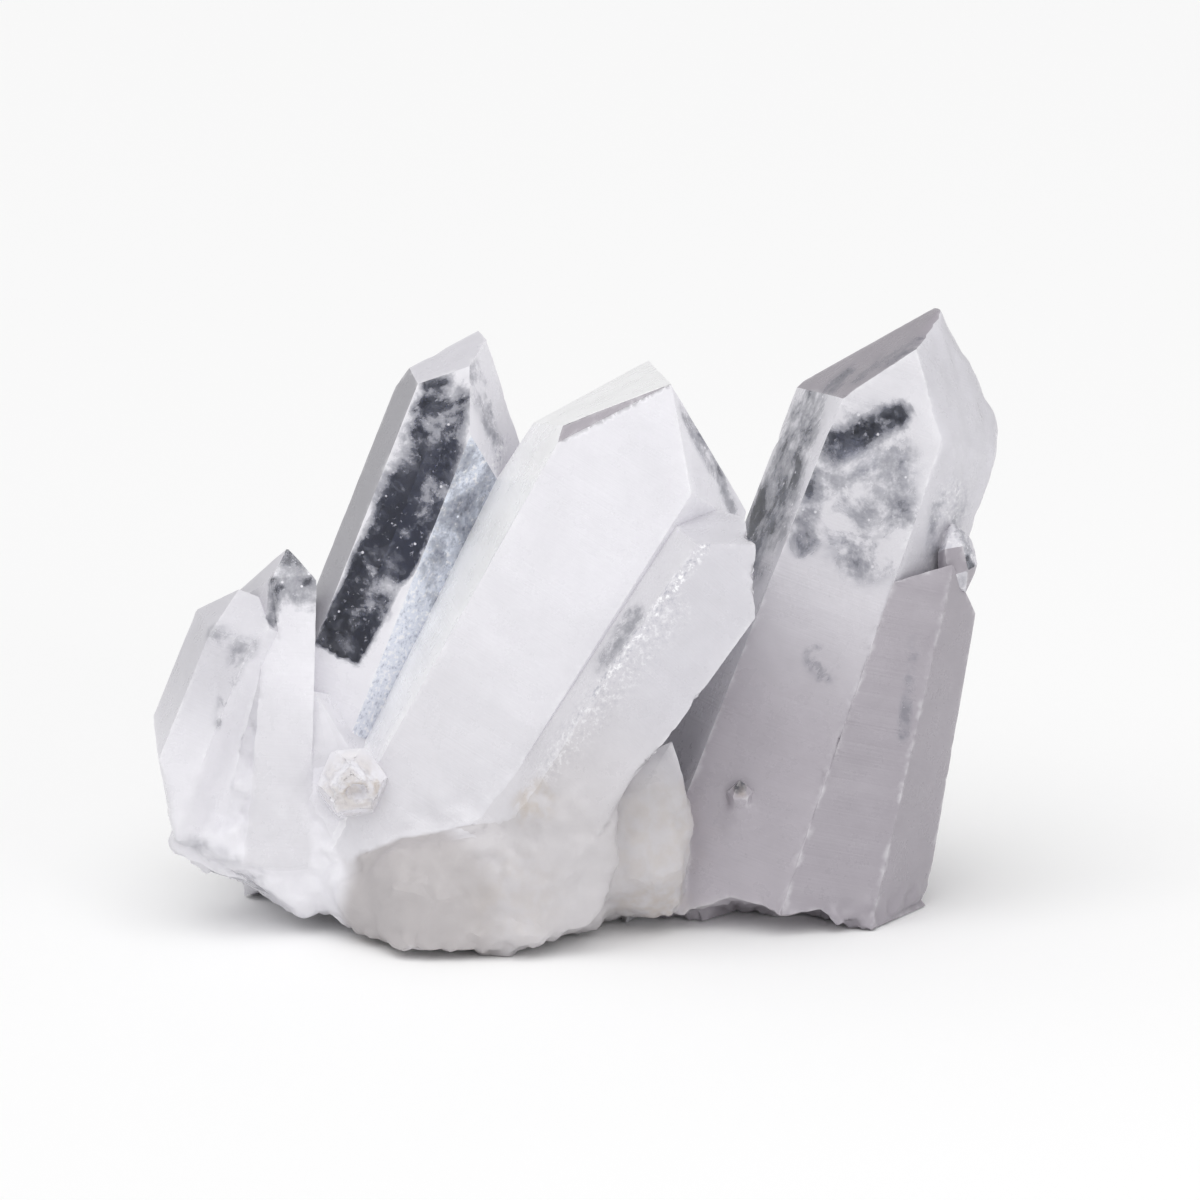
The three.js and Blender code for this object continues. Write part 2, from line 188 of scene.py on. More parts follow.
# Milky clouds inside the clear zones, described the same way
CLOUDED_ZONES = [
    ("tall_clear", (-17.6, -4.2, 68.5), (-19.2, -5.0, 64.0), 2.4, 2.2, 1.5, (-0.06, -0.98, 0.17), 0.40),
    ("tall_clear", (-21.3, -4.5, 68.0), (-22.9, -5.6, 59.5), 1.7, 1.5, 1.5, (-0.06, -0.98, 0.17), 0.40),
    ("tall_clear", (-23.6, -6.2, 56.0), (-27.2, -6.9, 50.8), 1.5, 1.5, 1.5, (-0.06, -0.98, 0.17), 0.30),
    ("tall_clear", (-27.0, -8.0, 45.0), (-22.5, -8.3, 43.4), 1.2, 1.4, 1.5, (-0.06, -0.98, 0.17), 0.34),
    ("tall_clear", (-23.0, -7.5, 49.3), (-25.4, -7.9, 45.9), 2.6, 2.6, 1.5, (-0.06, -0.98, 0.17), 0.16),
]
# A zone softer than this has round ends, and a harder one is cut off square
ROUND_ENDS = 0.5

# Faces with fine bright flecks, which are painted glints, and dark pocks, described like the clear zones
FLECKED_ZONES = [
    ("tall_clear", (-12.0, -2.0, 60.0), (-27.0, -9.2, 26.4), 6.0, 5.0, 0.8, (0.66, -0.74, -0.16), 1.0),
    ("tall_clear", (-10.5, 0.5, 60.5), (-11.5, -0.6, 58.5), 1.5, 1.5, 0.8, (0.86, -0.5, 0.1), 1.0),
    ("low_front", (15.6, -24.9, 52.6), (-10.2, -26.2, 18.7), 0.7, 1.1, 0.8, None, 1.0),
    ("low_front", (11.5, -25.6, 44.4), (-4.5, -26.1, 25.2), 2.2, 2.6, 1.2, None, 0.35),
    ("right_clear", (48.6, -6.0, 44.0), (48.8, -5.6, 53.0), 4.2, 4.2, 0.8, None, 0.4),
    ("stubby_brown", (-29.0, -24.5, 21.5), (-29.0, -24.5, 19.5), 4.0, 4.0, 0.8, None, 0.4),
]

# How far round zones reach, in half widths, and over how much of that they fade
ZONE_REACH = 1.3
ZONE_FADE = 0.6
STAIN_REACH = 1.4
STAIN_FADE = 1.0
ROCK_TINT_FADE = 0.3

# Yellow-brown stains: centre, half width and strength
STAINS = [
    ((-28.6, -24.5, 20.2), 2.0, 1.0),
    ((-28.8, -23.0, 20.5), 4.8, 0.30),
    ((-25.6, -22.5, 20.8), 1.2, 0.6),
    ((-6.3, -26.8, 20.2), 3.2, 0.35),
    ((10.5, -20.0, 13.5), 8.0, 0.16),
    ((9.5, -19.0, 4.0), 5.5, 0.30),
    ((20.5, -14.6, 18.8), 1.2, 0.5),
    ((-8.0, -29.0, 8.0), 6.0, 0.10),
    ((5.0, 24.0, 8.0), 9.0, 0.25),
    ((-30.0, 15.0, 8.0), 6.0, 0.3),
]

# Broken rock of the base: centre, half width and the milk of each lump
ROCK_ZONES = [
    ((10.0, -18.0, 12.0), 10.0, "milk_foot"),
    ((-3.0, -24.0, 10.0), 10.5, "milk_foot"),
    ((-22.0, -26.0, 5.0), 10.5, "rock"),
    ((-41.0, -16.0, 9.0), 11.0, "milk_white"),
]
# Faces lower than this are rock up to an area in square millimetres, and near a lump up to a larger area
ROCK_TOP = 17.0
ROCK_FACE_AREA = 60.0
LUMP_FACE_AREA = 220.0

# How much of its foot's milk a face with its own milk of painted light and shade keeps, and between which
# parts of a crystal's height the milk of the foot turns into that of the top
FOOT_MILK_SHARE = 0.3
MILK_HEIGHTS = (0.05, 0.6)

# Grown-together mass at the front left: its right end, how softly its sides end, and the heights where it
# starts and is complete
MASS_RIGHT = 14.0
MASS_FADE = 6.0
MASS_TOP = 25.0
MASS_FULL = 15.0
# Crystals that stick out of the mass: the part of their reach where they come free, and the distances from
# the axis, in half widths, where the mass starts and is complete
FREE_CRYSTALS = ("stubby_brown", "left_shard")
FREE_START = 0.45
FREE_NEAR = 1.0
FREE_FAR = 1.6

# Other places where a crystal grew out of its neighbour or is worn round: centre and half width
MERGED_ZONES = [
    ((20.5, -14.4, 14.6), 2.0),
    ((0.5, -27.5, 17.5), 9.0),
    ((52.5, 0.5, 60.0), 11.0),
    ((49.5, 0.5, 73.0), 6.0),
]

# Broken pieces in the mass that kept their own edges: centre and half width, how much of them they keep, and
# how much of the rock's relief they lack
CRISP_ZONES = [
    ((-2.0, -28.0, 6.0), 8.5),
    ((-20.0, -27.0, 5.5), 10.5),
    ((9.5, -20.0, 13.0), 9.0),
]
CRISPNESS = 0.85
CRISP_SMOOTHNESS = 0.5

# Rounding of rock and mass: shares of rock that count as all and as some rock, how freely some rock moves,
# how far a point goes to its neighbours in one turn, how far a crease fills and how much of that in rock,
# and after how many turns the outward directions are found again
ALL_ROCK = 0.99
SOME_ROCK = 0.3
SOME_ROCK_FREEDOM = 0.35
ROUNDING_STEP = 0.5
FILLING_STEP = 0.7
ROCK_FILLING = 0.5
FILLING_TURNS = 5

# Broken end of the short brown crystal: middle, half width, depth and edge of its hollow, width, depth and
# lift of its grains, and how far in front of the middle of the stone the end starts and is complete
STUB_HOLLOW = (-28.2, -24.6, 19.6)
STUB_HOLLOW_WIDTH = 1.9
STUB_HOLLOW_DEPTH = 1.3
STUB_HOLLOW_EDGE = 0.3
STUB_GRAIN = 1.7
STUB_GRAIN_DEPTH = 0.6
STUB_GRAIN_LIFT = 0.5
STUB_FRONT = (20.0, 22.0)

# Width of the broken grains of the rock, how much of its relief they and its crumbs make, how far each grain
# is raised or sunk, what spreads the random tilts of neighbouring grains, and the start of their random draws
ROCK_GRAIN = 3.4
ROCK_GRAIN_SHARE = 0.8
CRUMB_SHARE = 0.3
GRAIN_HEIGHT = 0.5
GRAIN_TURN = 7.0
GRAIN_SEED = 5

# Random patterns of the surface: width of the features in millimetres, octaves, and number of the pattern
PATTERNS = {
    "face_waves": (8.0, 3, 1),
    "growth_lines": (1.0, 2, 2),
    "edge_chips": (3.2, 3, 3),
    "rock_lumps": (5.0, 4, 4),
    "rock_crumbs": (1.6, 2, 5),
    "ragged_rim": (1.8, 2, 6),
    "chipped_stretches": (14.0, 2, 7),
    "ragged_front": (5.0, 3, 8),
}
# How far one pattern lies from the next, and how quickly its octaves get weaker and finer
PATTERN_STEP = (13.7, 7.3, 3.1)
OCTAVE_FALL = 1.0
OCTAVE_STEP = 2.0

# Growth lines: their width in millimetres, and how far the lines of two crystals and of two faces lie apart
LINE_WIDTH = 1.5
CRYSTAL_LINE_STEP = 5.0
FACE_LINE_STEP = 40

# Edges are worn from this bend on, and fully once they are bent this much further
WORN_BEND = math.radians(20)
WORN_RANGE = math.radians(25)
# Values of the pattern between which an edge turns chipped, and depth of the low front crystal's ragged edges
CHIPPED_LIMITS = (0.0, 0.35)
RAGGED_FRONT = 1.5
# How many times wear spreads to neighbouring points, and how much of it
WEAR_ROUNDS = 2
WEAR_SPREAD = 1.5

# Height in millimetres of the broken rim, how much of it looks like rock, and how uneven the mass is
FRINGE_HEIGHT = 5.0
FRINGE_ROCK = 0.6
MASS_RELIEF = 0.5

# Cosines of the angles at which crystal and rock faces meet in a sharp edge, and the mass that has none
SHARP_CRYSTAL = math.cos(math.radians(9))
SHARP_ROCK = math.cos(math.radians(24))
SOFT_MASS = 0.2

# Cloudy patterns in the quartz: how many to the metre, octaves, roughness and distortion
BILLOW_CLOUD = (130.0, 6.0, 0.66, 0.35)
VEIL_CLOUD = (230.0, 5.0, 0.68)
PATCH_CLOUD = (500.0, 2.0, 0.6)
PIT_CLOUD = (700.0, 2.0, 0.65)
FLECK_CLOUD = (1500.0, 3.0, 0.70)
# Steps in a pattern: where they start and end, and the values there where these aren't 0 and 1
BILLOW_STEP = (0.28, 0.72, -0.44, 0.44)
WISP_STEP = (0.30, 0.70, -0.28, 0.28)
WISP_START = (0.0, 0.3)
OPEN_STEP = (0.30, 1.05)
HAZE_STEP = (0.0, 0.75)
VEIL_STEP = (0.47, 0.76)
DUST_STEP = (0.60, 0.70)
FLECK_STEP = (0.52, 0.64)
POCK_STEP = (0.46, 0.36)
STAIN_STEP = (0.35, 0.65)
FROST_HIGHLIGHT_STEP = (0.40, 0.70, 0.0, 0.35)
MOTTLE_STEP = (0.25, 0.75, 0.95, 1.03)
GLOSS_STEP = (0.3, 0.7, -0.06, 0.05)
# Strength of the haze, veils, dust, bubbles and pocks, and how clear the clearest quartz is
HAZE = 0.5
VEILS = 0.42
DUST = 0.45
BUBBLES = 0.85
POCKS = 0.45
CLEAREST = 0.97
# Bubbles: how many to the metre, half width as a share of their distance, and solid part of that
BUBBLES_PER_METRE = 480.0
BUBBLE_WIDTH = 0.12
BUBBLE_CORE = 0.5
# Fine lines and pits of the faces: lines to the millimetre, octaves, roughness, heights, strength and depth
LINES_PER_MM = 2.6
LINE_DETAIL = 1.0
LINE_ROUGHNESS = 0.6
LINE_HEIGHT = 0.3
PIT_HEIGHT = 0.5
RELIEF_STRENGTH = 0.12
RELIEF_DEPTH = 0.4 * MM
# How deep light spreads in milky quartz, and how far each colour goes
SPREAD_DEPTH = 5.0 * MM
SPREAD_COLOUR = (1.0, 0.95, 1.0)

# Stage: gloss of the floor and its place under the stone, place of the wide light, point that the lights are
# turned to, colour of the room and width of the camera's sensor in millimetres
FLOOR_ROUGHNESS = 0.9
FLOOR_DROP = 0.2 * MM
SKY_PLACE = (-0.10, -0.42, 0.90)
LIGHT_AIM = (0.0, 0.0, 0.035)
ROOM_WHITE = (1.0, 1.0, 1.0, 1.0)
SENSOR_WIDTH = 36.0


def length_setting(name, description, default):
    """Setting that holds a length in metres."""
    return bpy.props.FloatProperty(name=name, description=description, default=default, unit="LENGTH")


def colour_setting(name, description, default):
    """Setting that holds a colour."""
    return bpy.props.FloatVectorProperty(
        name=name, description=description, default=default, subtype="COLOR"
    )


def angle_setting(name, description, default):
    """Setting that holds an angle."""
    return bpy.props.FloatProperty(name=name, description=description, default=default, subtype="ANGLE")


def share_setting(name, description, default):
    """Setting that holds a share from 0 to 1."""
    return bpy.props.FloatProperty(name=name, description=description, default=default, subtype="FACTOR")


def place_setting(name, description, default):
    """Setting that holds a place in metres."""
    return bpy.props.FloatVectorProperty(
        name=name, description=description, default=default, subtype="TRANSLATION"
    )


class StoneShape(bpy.types.PropertyGroup):
    """Sizes of the fine surface of the stone."""

    spacing: length_setting("Spacing", "Distance between points of the fine surface", 0.68 * MM)
    small_spacing: length_setting("Small spacing", "Distance between points on small crystals", 0.34 * MM)
    ground_spacing: length_setting("Ground spacing", "Distance between points of the underside", 3.0 * MM)
    face_relief: length_setting("Face relief", "Depth of the slow waves on crystal faces", 0.10 * MM)
    growth_steps: length_setting("Growth steps", "Depth of the lines across crystal sides", 0.045 * MM)
    edge_wear: length_setting("Edge wear", "How far crystal edges are worn back", 0.07 * MM)
    edge_chips: length_setting("Edge chips", "Depth of the chips along crystal edges", 0.5 * MM)
    rim_chips: length_setting("Rim chips", "Depth of the ragged lower rim", 0.8 * MM)
    rock_relief: length_setting("Rock relief", "Depth of the uneven rock of the base", 0.80 * MM)
    rock_rounding: bpy.props.IntProperty(
        name="Rock rounding", description="How many times the rock is smoothed", default=4
    )
    mass_rounding: bpy.props.IntProperty(
        name="Mass rounding", description="How many times the grown-together mass is smoothed", default=26
    )
    crease_filling: bpy.props.IntProperty(
        name="Crease filling", description="How many times the creases of the mass are filled", default=45
    )


class StoneFinish(bpy.types.PropertyGroup):
    """Colours and gloss of the stone."""

    # Painted light: the whitest milk, for the top and the bright left strip of the large crystal, which are
    # lit brightest
    painted_light_white: colour_setting("Snow milk", "Whitest face, on top of the large crystal", (0.97, 0.97, 0.98))
    milk_white: colour_setting("White milk", "Milky quartz of the middle and left", (0.78, 0.77, 0.81))
    # Blue tint of the tall crystal's right face: partly its own colour, partly painted light that makes this
    # face, which lies in shade, lighter
    blue_milk_painted_lighter: colour_setting("Blue milk", "Blue-white right face of the tall crystal", (0.74, 0.78, 0.87))
    milk_pale: colour_setting("Pale milk", "Milky quartz of the low front crystal", (0.69, 0.68, 0.715))
    milk_soft: colour_setting("Soft milk", "Less milky quartz", (0.62, 0.61, 0.65))
    # This grey milk makes the crystals at the right and their feet darker than those in the middle
    milk_grey: colour_setting("Grey milk", "Grey quartz of the right side", (0.42, 0.393, 0.43))
    milk_plate: colour_setting("Plate milk", "Grey quartz of the plate at the right", (0.34, 0.315, 0.35))
    milk_dim: colour_setting("Dim milk", "Half clear faces", (0.39, 0.385, 0.41))
    milk_foot: colour_setting("Foot milk", "Foot of the low front crystal", (0.55, 0.53, 0.545))
    rock: colour_setting("Rock", "Grey-beige rock of the base", (0.46, 0.435, 0.44))
    # Painted shade: dark blue-grey that the clear zones take on, standing in for the dark seen through them;
    # also the colour of the dark pocks
    window_shade_and_specks: colour_setting("Smoke", "Tint of the clear quartz", (0.24, 0.255, 0.33))
    stain: colour_setting("Stain", "Yellow-brown stain", (0.42, 0.33, 0.22))
    # Bruised white of the worn edges, partly their own colour and partly a painted highlight along the edges;
    # also the painted glints of the bright flecks
    frost_and_highlight: colour_setting("Frost", "Bruised white edges and flecks", (0.93, 0.93, 0.95))
    absorption: colour_setting("Absorption", "Colour that the clear quartz lets through", (0.74, 0.78, 0.90))
    absorption_density: bpy.props.FloatProperty(
        name="Absorption density", description="How fast light fades in the quartz, per metre", default=80.0
    )
    refraction: bpy.props.FloatProperty(
        name="Refraction", description="Refractive index of quartz", default=1.544
    )
    milk_roughness: share_setting("Milk roughness", "Roughness of milky faces", 0.30)
    clear_roughness: share_setting("Clear roughness", "Roughness of clear faces", 0.05)
    rock_roughness: share_setting("Rock roughness", "Roughness of the rock", 0.48)
    translucency: share_setting("Translucency", "How much light spreads inside milky quartz", 0.14)


class StageSettings(bpy.types.PropertyGroup):
    """Floor, light and camera."""

    floor_colour: colour_setting("Floor", "Colour of the plain floor", (0.97, 0.97, 0.97))
    floor_width: length_setting("Floor width", "Side of the square floor", 8.0)
    room_light: bpy.props.FloatProperty(name="Room light", description="Even light of the room", default=0.56)
    sky_light: bpy.props.FloatProperty(
        name="Sky light", description="Wide soft light from above", default=1.5
    )
    sky_spread: angle_setting("Sky spread", "Width of the wide light as an angle", math.radians(70))
    key_power: bpy.props.FloatProperty(
        name="Key power", description="Power of the lamp at the front right", default=0.55, unit="POWER"
    )
    key_width: length_setting("Key width", "Side of the square lamp", 0.30)
    key_place: place_setting("Key place", "Place of the lamp", (0.34, -0.50, 0.14))
    aim: place_setting("Aim", "Point that the camera looks at", (0.00249, -0.00065, 0.0404))
    distance: length_setting("Distance", "Camera distance", 0.70)
    elevation: angle_setting("Elevation", "Camera height as an angle", math.radians(12))
    lens: bpy.props.FloatProperty(
        name="Lens", description="Focal length in millimetres on a 36 mm sensor", default=161.5
    )


def welded_solid(source):
    """Corner points in millimetres and triangles of the solid stone, with equal corners joined."""
    weld = 1e-6
    mesh = source.data
    mesh.calc_loop_triangles()
    corners = np.empty(len(mesh.vertices) * 3)
    mesh.vertices.foreach_get("co", corners)
    corners = corners.reshape(-1, 3)
    triangles = np.empty(len(mesh.loop_triangles) * 3, np.int32)
    mesh.loop_triangles.foreach_get("vertices", triangles)
    triangles = triangles.reshape(-1, 3)
    keys = np.round(corners / weld).astype(np.int64)
    _, first, joined = np.unique(keys, axis=0, return_index=True, return_inverse=True)
    triangles = joined.reshape(-1)[triangles]
    distinct = (
        (triangles[:, 0] != triangles[:, 1])
        & (triangles[:, 1] != triangles[:, 2])
        & (triangles[:, 2] != triangles[:, 0])
    )
    return corners[first] / MM, triangles[distinct]


class FlatFaces:
    """The stone's flat faces: which triangles make up each, their normals, and the borders between them."""

    # Cosine of the angle within which triangles share a plane, and area in square millimetres of a sliver
    same_plane = math.cos(math.radians(0.25))
    sliver = 1e-4

    def __init__(self, points, triangles):
        self.points = points
        self.triangles = triangles
        a, b, c = (points[triangles[:, i]] for i in range(3))
        cross = np.cross(b - a, c - a)
        length = np.linalg.norm(cross, axis=1)
        self.areas = length / 2
        self.triangle_normals = cross / np.maximum(length, TINY)[:, None]
        self.cross = cross
        self.sides = {}
        for number, triangle in enumerate(triangles.tolist()):
            for i in range(3):
                key = tuple(sorted((triangle[i], triangle[(i + 1) % 3])))
                self.sides.setdefault(key, []).append(number)
        self.number_faces()

    def number_faces(self):
        """Give each triangle the number of its flat face."""
        parent = list(range(len(self.triangles)))

        def root(i):
            """First triangle of the group that this one has joined."""
            while parent[i] != i:
                parent[i] = parent[parent[i]]
                i = parent[i]
            return i

        longest = {}
        for key, pair in self.sides.items():
            if len(pair) != 2:
                continue
            first, second = pair
            thin = self.areas[first] < self.sliver or self.areas[second] < self.sliver
            if not thin and self.triangle_normals[first] @ self.triangle_normals[second] > self.same_plane:
                parent[root(first)] = root(second)
            span = np.linalg.norm(self.points[key[0]] - self.points[key[1]])
            for own, other in ((first, second), (second, first)):
                if self.areas[own] < self.sliver and span > longest.get(own, (0.0, 0))[0]:
                    longest[own] = (span, other)
        for own, (_, other) in longest.items():
            parent[root(own)] = root(other)
        roots = [root(i) for i in range(len(self.triangles))]
        order = {first: number for number, first in enumerate(sorted(set(roots)))}
        self.face_of = np.array([order[first] for first in roots])
        count = len(order)
        total = np.zeros((count, 3))
        np.add.at(total, self.face_of, self.cross)
        self.normals = total / np.maximum(np.linalg.norm(total, axis=1), TINY)[:, None]
        self.face_areas = np.bincount(self.face_of, self.areas, count)
        middle = self.points[self.triangles].mean(axis=1) * self.areas[:, None]
        self.middles = np.stack([np.bincount(self.face_of, middle[:, i], count) for i in range(3)], 1)
        self.middles /= np.maximum(self.face_areas, TINY)[:, None]

    def borders(self):
        """Sides between two flat faces, with how far each is bent: above zero where it sticks out."""
        found = {}
        for key, pair in self.sides.items():
            faces = [self.face_of[t] for t in pair]
            if len(pair) == 2 and faces[0] == faces[1]:
                continue
            bend = 0.0
            if len(pair) == 2:
                first, second = faces
                away = self.points[self.triangles[pair[1]]].mean(axis=0) - self.points[key[0]]
                cosine = float(self.normals[first] @ self.normals[second])
                angle = math.acos(max(-1.0, min(1.0, cosine)))
                bend = angle if away @ self.normals[first] < 0 else -angle
            found[key] = (faces, bend)
        return found


def inside_triangles(places, corners):
    """Whether each place of the plane lies in any of the triangles."""
    found = np.zeros(len(places), bool)
    for a, b, c in corners:
        area = (b[0] - a[0]) * (c[1] - a[1]) - (b[1] - a[1]) * (c[0] - a[0])
        if abs(area) < FLAT_AREA:
            continue
        u = ((places[:, 0] - a[0]) * (c[1] - a[1]) - (places[:, 1] - a[1]) * (c[0] - a[0])) / area
        v = ((b[0] - a[0]) * (places[:, 1] - a[1]) - (b[1] - a[1]) * (places[:, 0] - a[0])) / area
        found |= (u >= -EDGE_SLACK) & (v >= -EDGE_SLACK) & (u + v <= 1 + EDGE_SLACK)
    return found


def even_grid(corners, spacing, random):
    """Places of a slightly uneven triangle grid over a face's outline."""
    low = corners.reshape(-1, 2).min(axis=0)
    high = corners.reshape(-1, 2).max(axis=0)
    row_height = spacing * math.sqrt(3) / 2
    rows = np.arange(low[1] + row_height / 2, high[1], row_height)
    columns = np.arange(low[0], high[0] + spacing, spacing)
    if not len(rows) or not len(columns):
        return np.zeros((0, 2))
    x, y = np.meshgrid(columns, rows)
    x = x + (np.arange(len(rows)) % 2)[:, None] * spacing / 2
    places = np.stack([x.ravel(), y.ravel()], 1)
    return places + random.uniform(-GRID_STRAY, GRID_STRAY, places.shape) * spacing


class FineSurface:
    """The stone's surface cut into small even triangles that keep every edge of its flat faces."""

    def __init__(self, faces, spacings, seed):
        self.faces = faces
        self.points = [tuple(point) for point in faces.points]
        self.triangles = []
        self.face_of = []
        self.spacings = spacings
        self.random = np.random.default_rng(seed)
        self.borders = faces.borders()
        self.cut_borders()
        for number in range(len(faces.normals)):
            self.fill_face(number)
        self.points = np.array(self.points)
        self.triangles = np.array(self.triangles)
        self.face_of = np.array(self.face_of)

    def cut_borders(self):
        """Cut each border into short lengths that both its faces share."""
        self.lines = [[] for _ in self.faces.normals]
        self.bend = {}
        for (start, end), (faces, bend) in self.borders.items():
            a, b = self.faces.points[start], self.faces.points[end]
            spacing = min(self.spacings[face] for face in faces)
            cuts = max(1, int(round(np.linalg.norm(b - a) / spacing)))
            chain = [start]
            for i in range(1, cuts):
                chain.append(len(self.points))
                self.points.append(tuple(a + (b - a) * i / cuts))
            chain.append(end)
            for point in chain:
                if abs(bend) > abs(self.bend.get(point, 0.0)):
                    self.bend[point] = bend
            for face in set(faces):
                self.lines[face].append(chain)

    def fill_face(self, number):
        """Cover one flat face with even triangles inside its border."""
        normal = self.faces.normals[number]
        across = np.cross(normal, (0, 0, 1) if abs(normal[2]) < STEEP else (1, 0, 0))
        across /= np.linalg.norm(across)
        up = np.cross(normal, across)
        basis = np.stack([across, up], 1)
        middle = self.faces.middles[number]
        own = self.faces.triangles[self.faces.face_of == number]
        corners = (self.faces.points[own] - middle) @ basis
        chains = self.lines[number]
        numbers = sorted({point for chain in chains for point in chain})
        local = {point: i for i, point in enumerate(numbers)}
        rim = (np.array([self.points[point] for point in numbers]) - middle) @ basis
        joins = [(local[a], local[b]) for chain in chains for a, b in zip(chain, chain[1:])]
        places = self.inner_places(number, corners, rim)
        plane = [Vector(place) for place in np.concatenate([rim, places])]
        spots, _, cells, origins, _, _ = geometry.delaunay_2d_cdt(plane, joins, [], INSIDE_BORDERS, CUT_SLACK)
        first_new = len(self.points)
        self.points.extend(tuple(point) for point in middle + places @ basis.T)
        to_point = []
        for origin in origins:
            index = origin[0] if origin else -1
            to_point.append(numbers[index] if 0 <= index < len(rim) else first_new + index - len(rim))
        cells = np.array([cell for cell in cells if len(cell) == 3], int).reshape(-1, 3)
        if not len(cells):
            return
        spots = np.array([tuple(spot) for spot in spots])
        for cell in cells[inside_triangles(spots[cells].mean(axis=1), corners)]:
            self.triangles.append([to_point[i] for i in cell])
            self.face_of.append(number)

    def inner_places(self, number, corners, rim):
        """Grid places inside one flat face that keep clear of its border."""
        places = even_grid(corners, self.spacings[number], self.random)
        if len(places):
            places = places[inside_triangles(places, corners)]
        if len(places):
            gap = np.min(np.sum((places[:, None] - rim[None]) ** 2, axis=2), axis=1)
            places = places[gap > (RIM_SHARE * min(self.spacings[number], RIM_SPACING)) ** 2]
        return places


def on_small_crystals(crystal_of, nearness, reach):
    """Which flat faces are within this reach of a small crystal."""
    small = [NAMES.index(name) for name in SMALL_CRYSTALS]
    return np.isin(crystal_of, small) & (nearness < reach)


def face_spacings(faces, crystal_of, nearness, shape):
    """Distance between points on each flat face: closest on the smallest crystals, wide on the ground."""
    spacings = np.full(len(faces.normals), shape.spacing / MM)
    spacings[on_small_crystals(crystal_of, nearness, SMALL_REACH)] = shape.small_spacing / MM
    ground = (faces.normals[:, 2] < GROUND_FACING) & (faces.middles[:, 2] < GROUND_FACE_HEIGHT)
    spacings[ground] = shape.ground_spacing / MM
    return spacings


def crystal_axis(crystal):
    """Direction of a crystal's axis."""
    axis = np.array([math.tan(math.radians(crystal.right)), math.tan(math.radians(crystal.back)), 1.0])
    return axis / np.linalg.norm(axis)


def crystal_axes():
    """Directions of all crystals' axes."""
    return np.array([crystal_axis(crystal) for crystal in CRYSTALS.values()])


def nearest_crystals(faces):
    """The crystal that each flat face belongs to, as its place in the list, and how close it is."""
    reach = []
    for crystal in CRYSTALS.values():
        axis = crystal_axis(crystal)
        offset = faces.middles - np.array(crystal.foot)
        along = offset @ axis
        side = np.linalg.norm(offset - along[:, None] * axis, axis=1)
        beyond = np.maximum(np.maximum(along - crystal.tip, -along - crystal.half_width), 0)
        reach.append((side + BEYOND_WEIGHT * beyond) / crystal.half_width)
    reach = np.array(reach)
    return reach.argmin(axis=0), reach.min(axis=0)


def rock_faces(faces, crystal_of, nearness):
    """Which flat faces are broken rock of the base and not crystal."""
    broken = (faces.middles[:, 2] < ROCK_TOP) & (faces.face_areas < ROCK_FACE_AREA)
    for centre, half_width, _ in ROCK_ZONES:
        near = np.linalg.norm(faces.middles - np.array(centre), axis=1) < half_width
        broken |= near & (faces.face_areas < LUMP_FACE_AREA)
    return broken & ~on_small_crystals(crystal_of, nearness, POINT_REACH)


def smooth_step(values, low, high):
    """Values turned smoothly from 0 at the low limit to 1 at the high limit."""
    share = np.clip((values - low) / (high - low), 0, 1)
    return share * share * (3 - 2 * share)


def ball_share(places, centre, half_width, reach, fade):
    """Share of a round zone at each place: 1 well inside it, fading to 0 at its reach."""
    away = np.linalg.norm(places - np.array(centre), axis=1)
    return smooth_step(reach - away / half_width, 0, fade)


def zone_strength(places, zones, crystal_of_corner, normal_of_corner):
    """How strongly each corner of the surface lies in the zones, from 0 to 1."""
    strength = np.zeros(len(places))
    for crystal, start, end, half_start, half_end, softness, facing, amount in zones:
        start, end = np.array(start), np.array(end)
        length = np.linalg.norm(end - start)
        line = (end - start) / length
        along = (places - start) @ line
        half = half_start + (half_end - half_start) * np.clip(along / length, 0, 1)
        aside = np.linalg.norm(places - start - along[:, None] * line, axis=1) / half
        beyond = np.maximum(np.maximum(-along, along - length), 0) / half
        away = np.hypot(aside, beyond)
        if softness < ROUND_ENDS:
            away = np.where(beyond > 0, np.maximum(aside, 1 + beyond), aside)
        inside = smooth_step(1 + softness / 2 - away, 0, softness) * amount
        inside[crystal_of_corner != NAMES.index(crystal)] = 0
        if facing is not None:
            inside[normal_of_corner @ np.array(facing) < SAME_FACING] = 0
        strength = np.maximum(strength, inside)
    return strength


def noise_at(places, pattern):
    """Smooth random values of one of the patterns, roughly from -1 to 1."""
    width, octaves, number = PATTERNS[pattern]
    spots = places / width + number * np.array(PATTERN_STEP)
    kind = "PERLIN_ORIGINAL"
    return np.array(
        [noise.fractal(Vector(spot), OCTAVE_FALL, OCTAVE_STEP, octaves, noise_basis=kind) for spot in spots]
    )


def neighbour_mean(values, sides, count):
    """Mean of each point's neighbours, for values with one or more columns."""
    total = np.zeros((count, values.shape[1]))
    for a, b in ((0, 1), (1, 0)):
        for i in range(values.shape[1]):
            total[:, i] += np.bincount(sides[:, a], values[sides[:, b], i], count)
    degree = np.bincount(sides.ravel(), minlength=count)
    return total / np.maximum(degree, 1)[:, None]


def point_normals(points, triangles, count):
    """Mean outward direction at each point."""
    a, b, c = (points[triangles[:, i]] for i in range(3))
    cross = np.cross(b - a, c - a)
    total = np.zeros((count, 3))
    for i in range(3):
        for k in range(3):
            total[:, k] += np.bincount(triangles[:, i], cross[:, k], count)
    return total / np.maximum(np.linalg.norm(total, axis=1), TINY)[:, None]


def share_of_rock(surface, rock):
    """Share of rock at each point: 1 where all its faces are rock."""
    count = len(surface.points)
    seen = np.bincount(surface.triangles.ravel(), minlength=count)
    rocky = np.bincount(surface.triangles.ravel(), np.repeat(rock[surface.face_of], 3), count)
    return rocky / np.maximum(seen, 1)


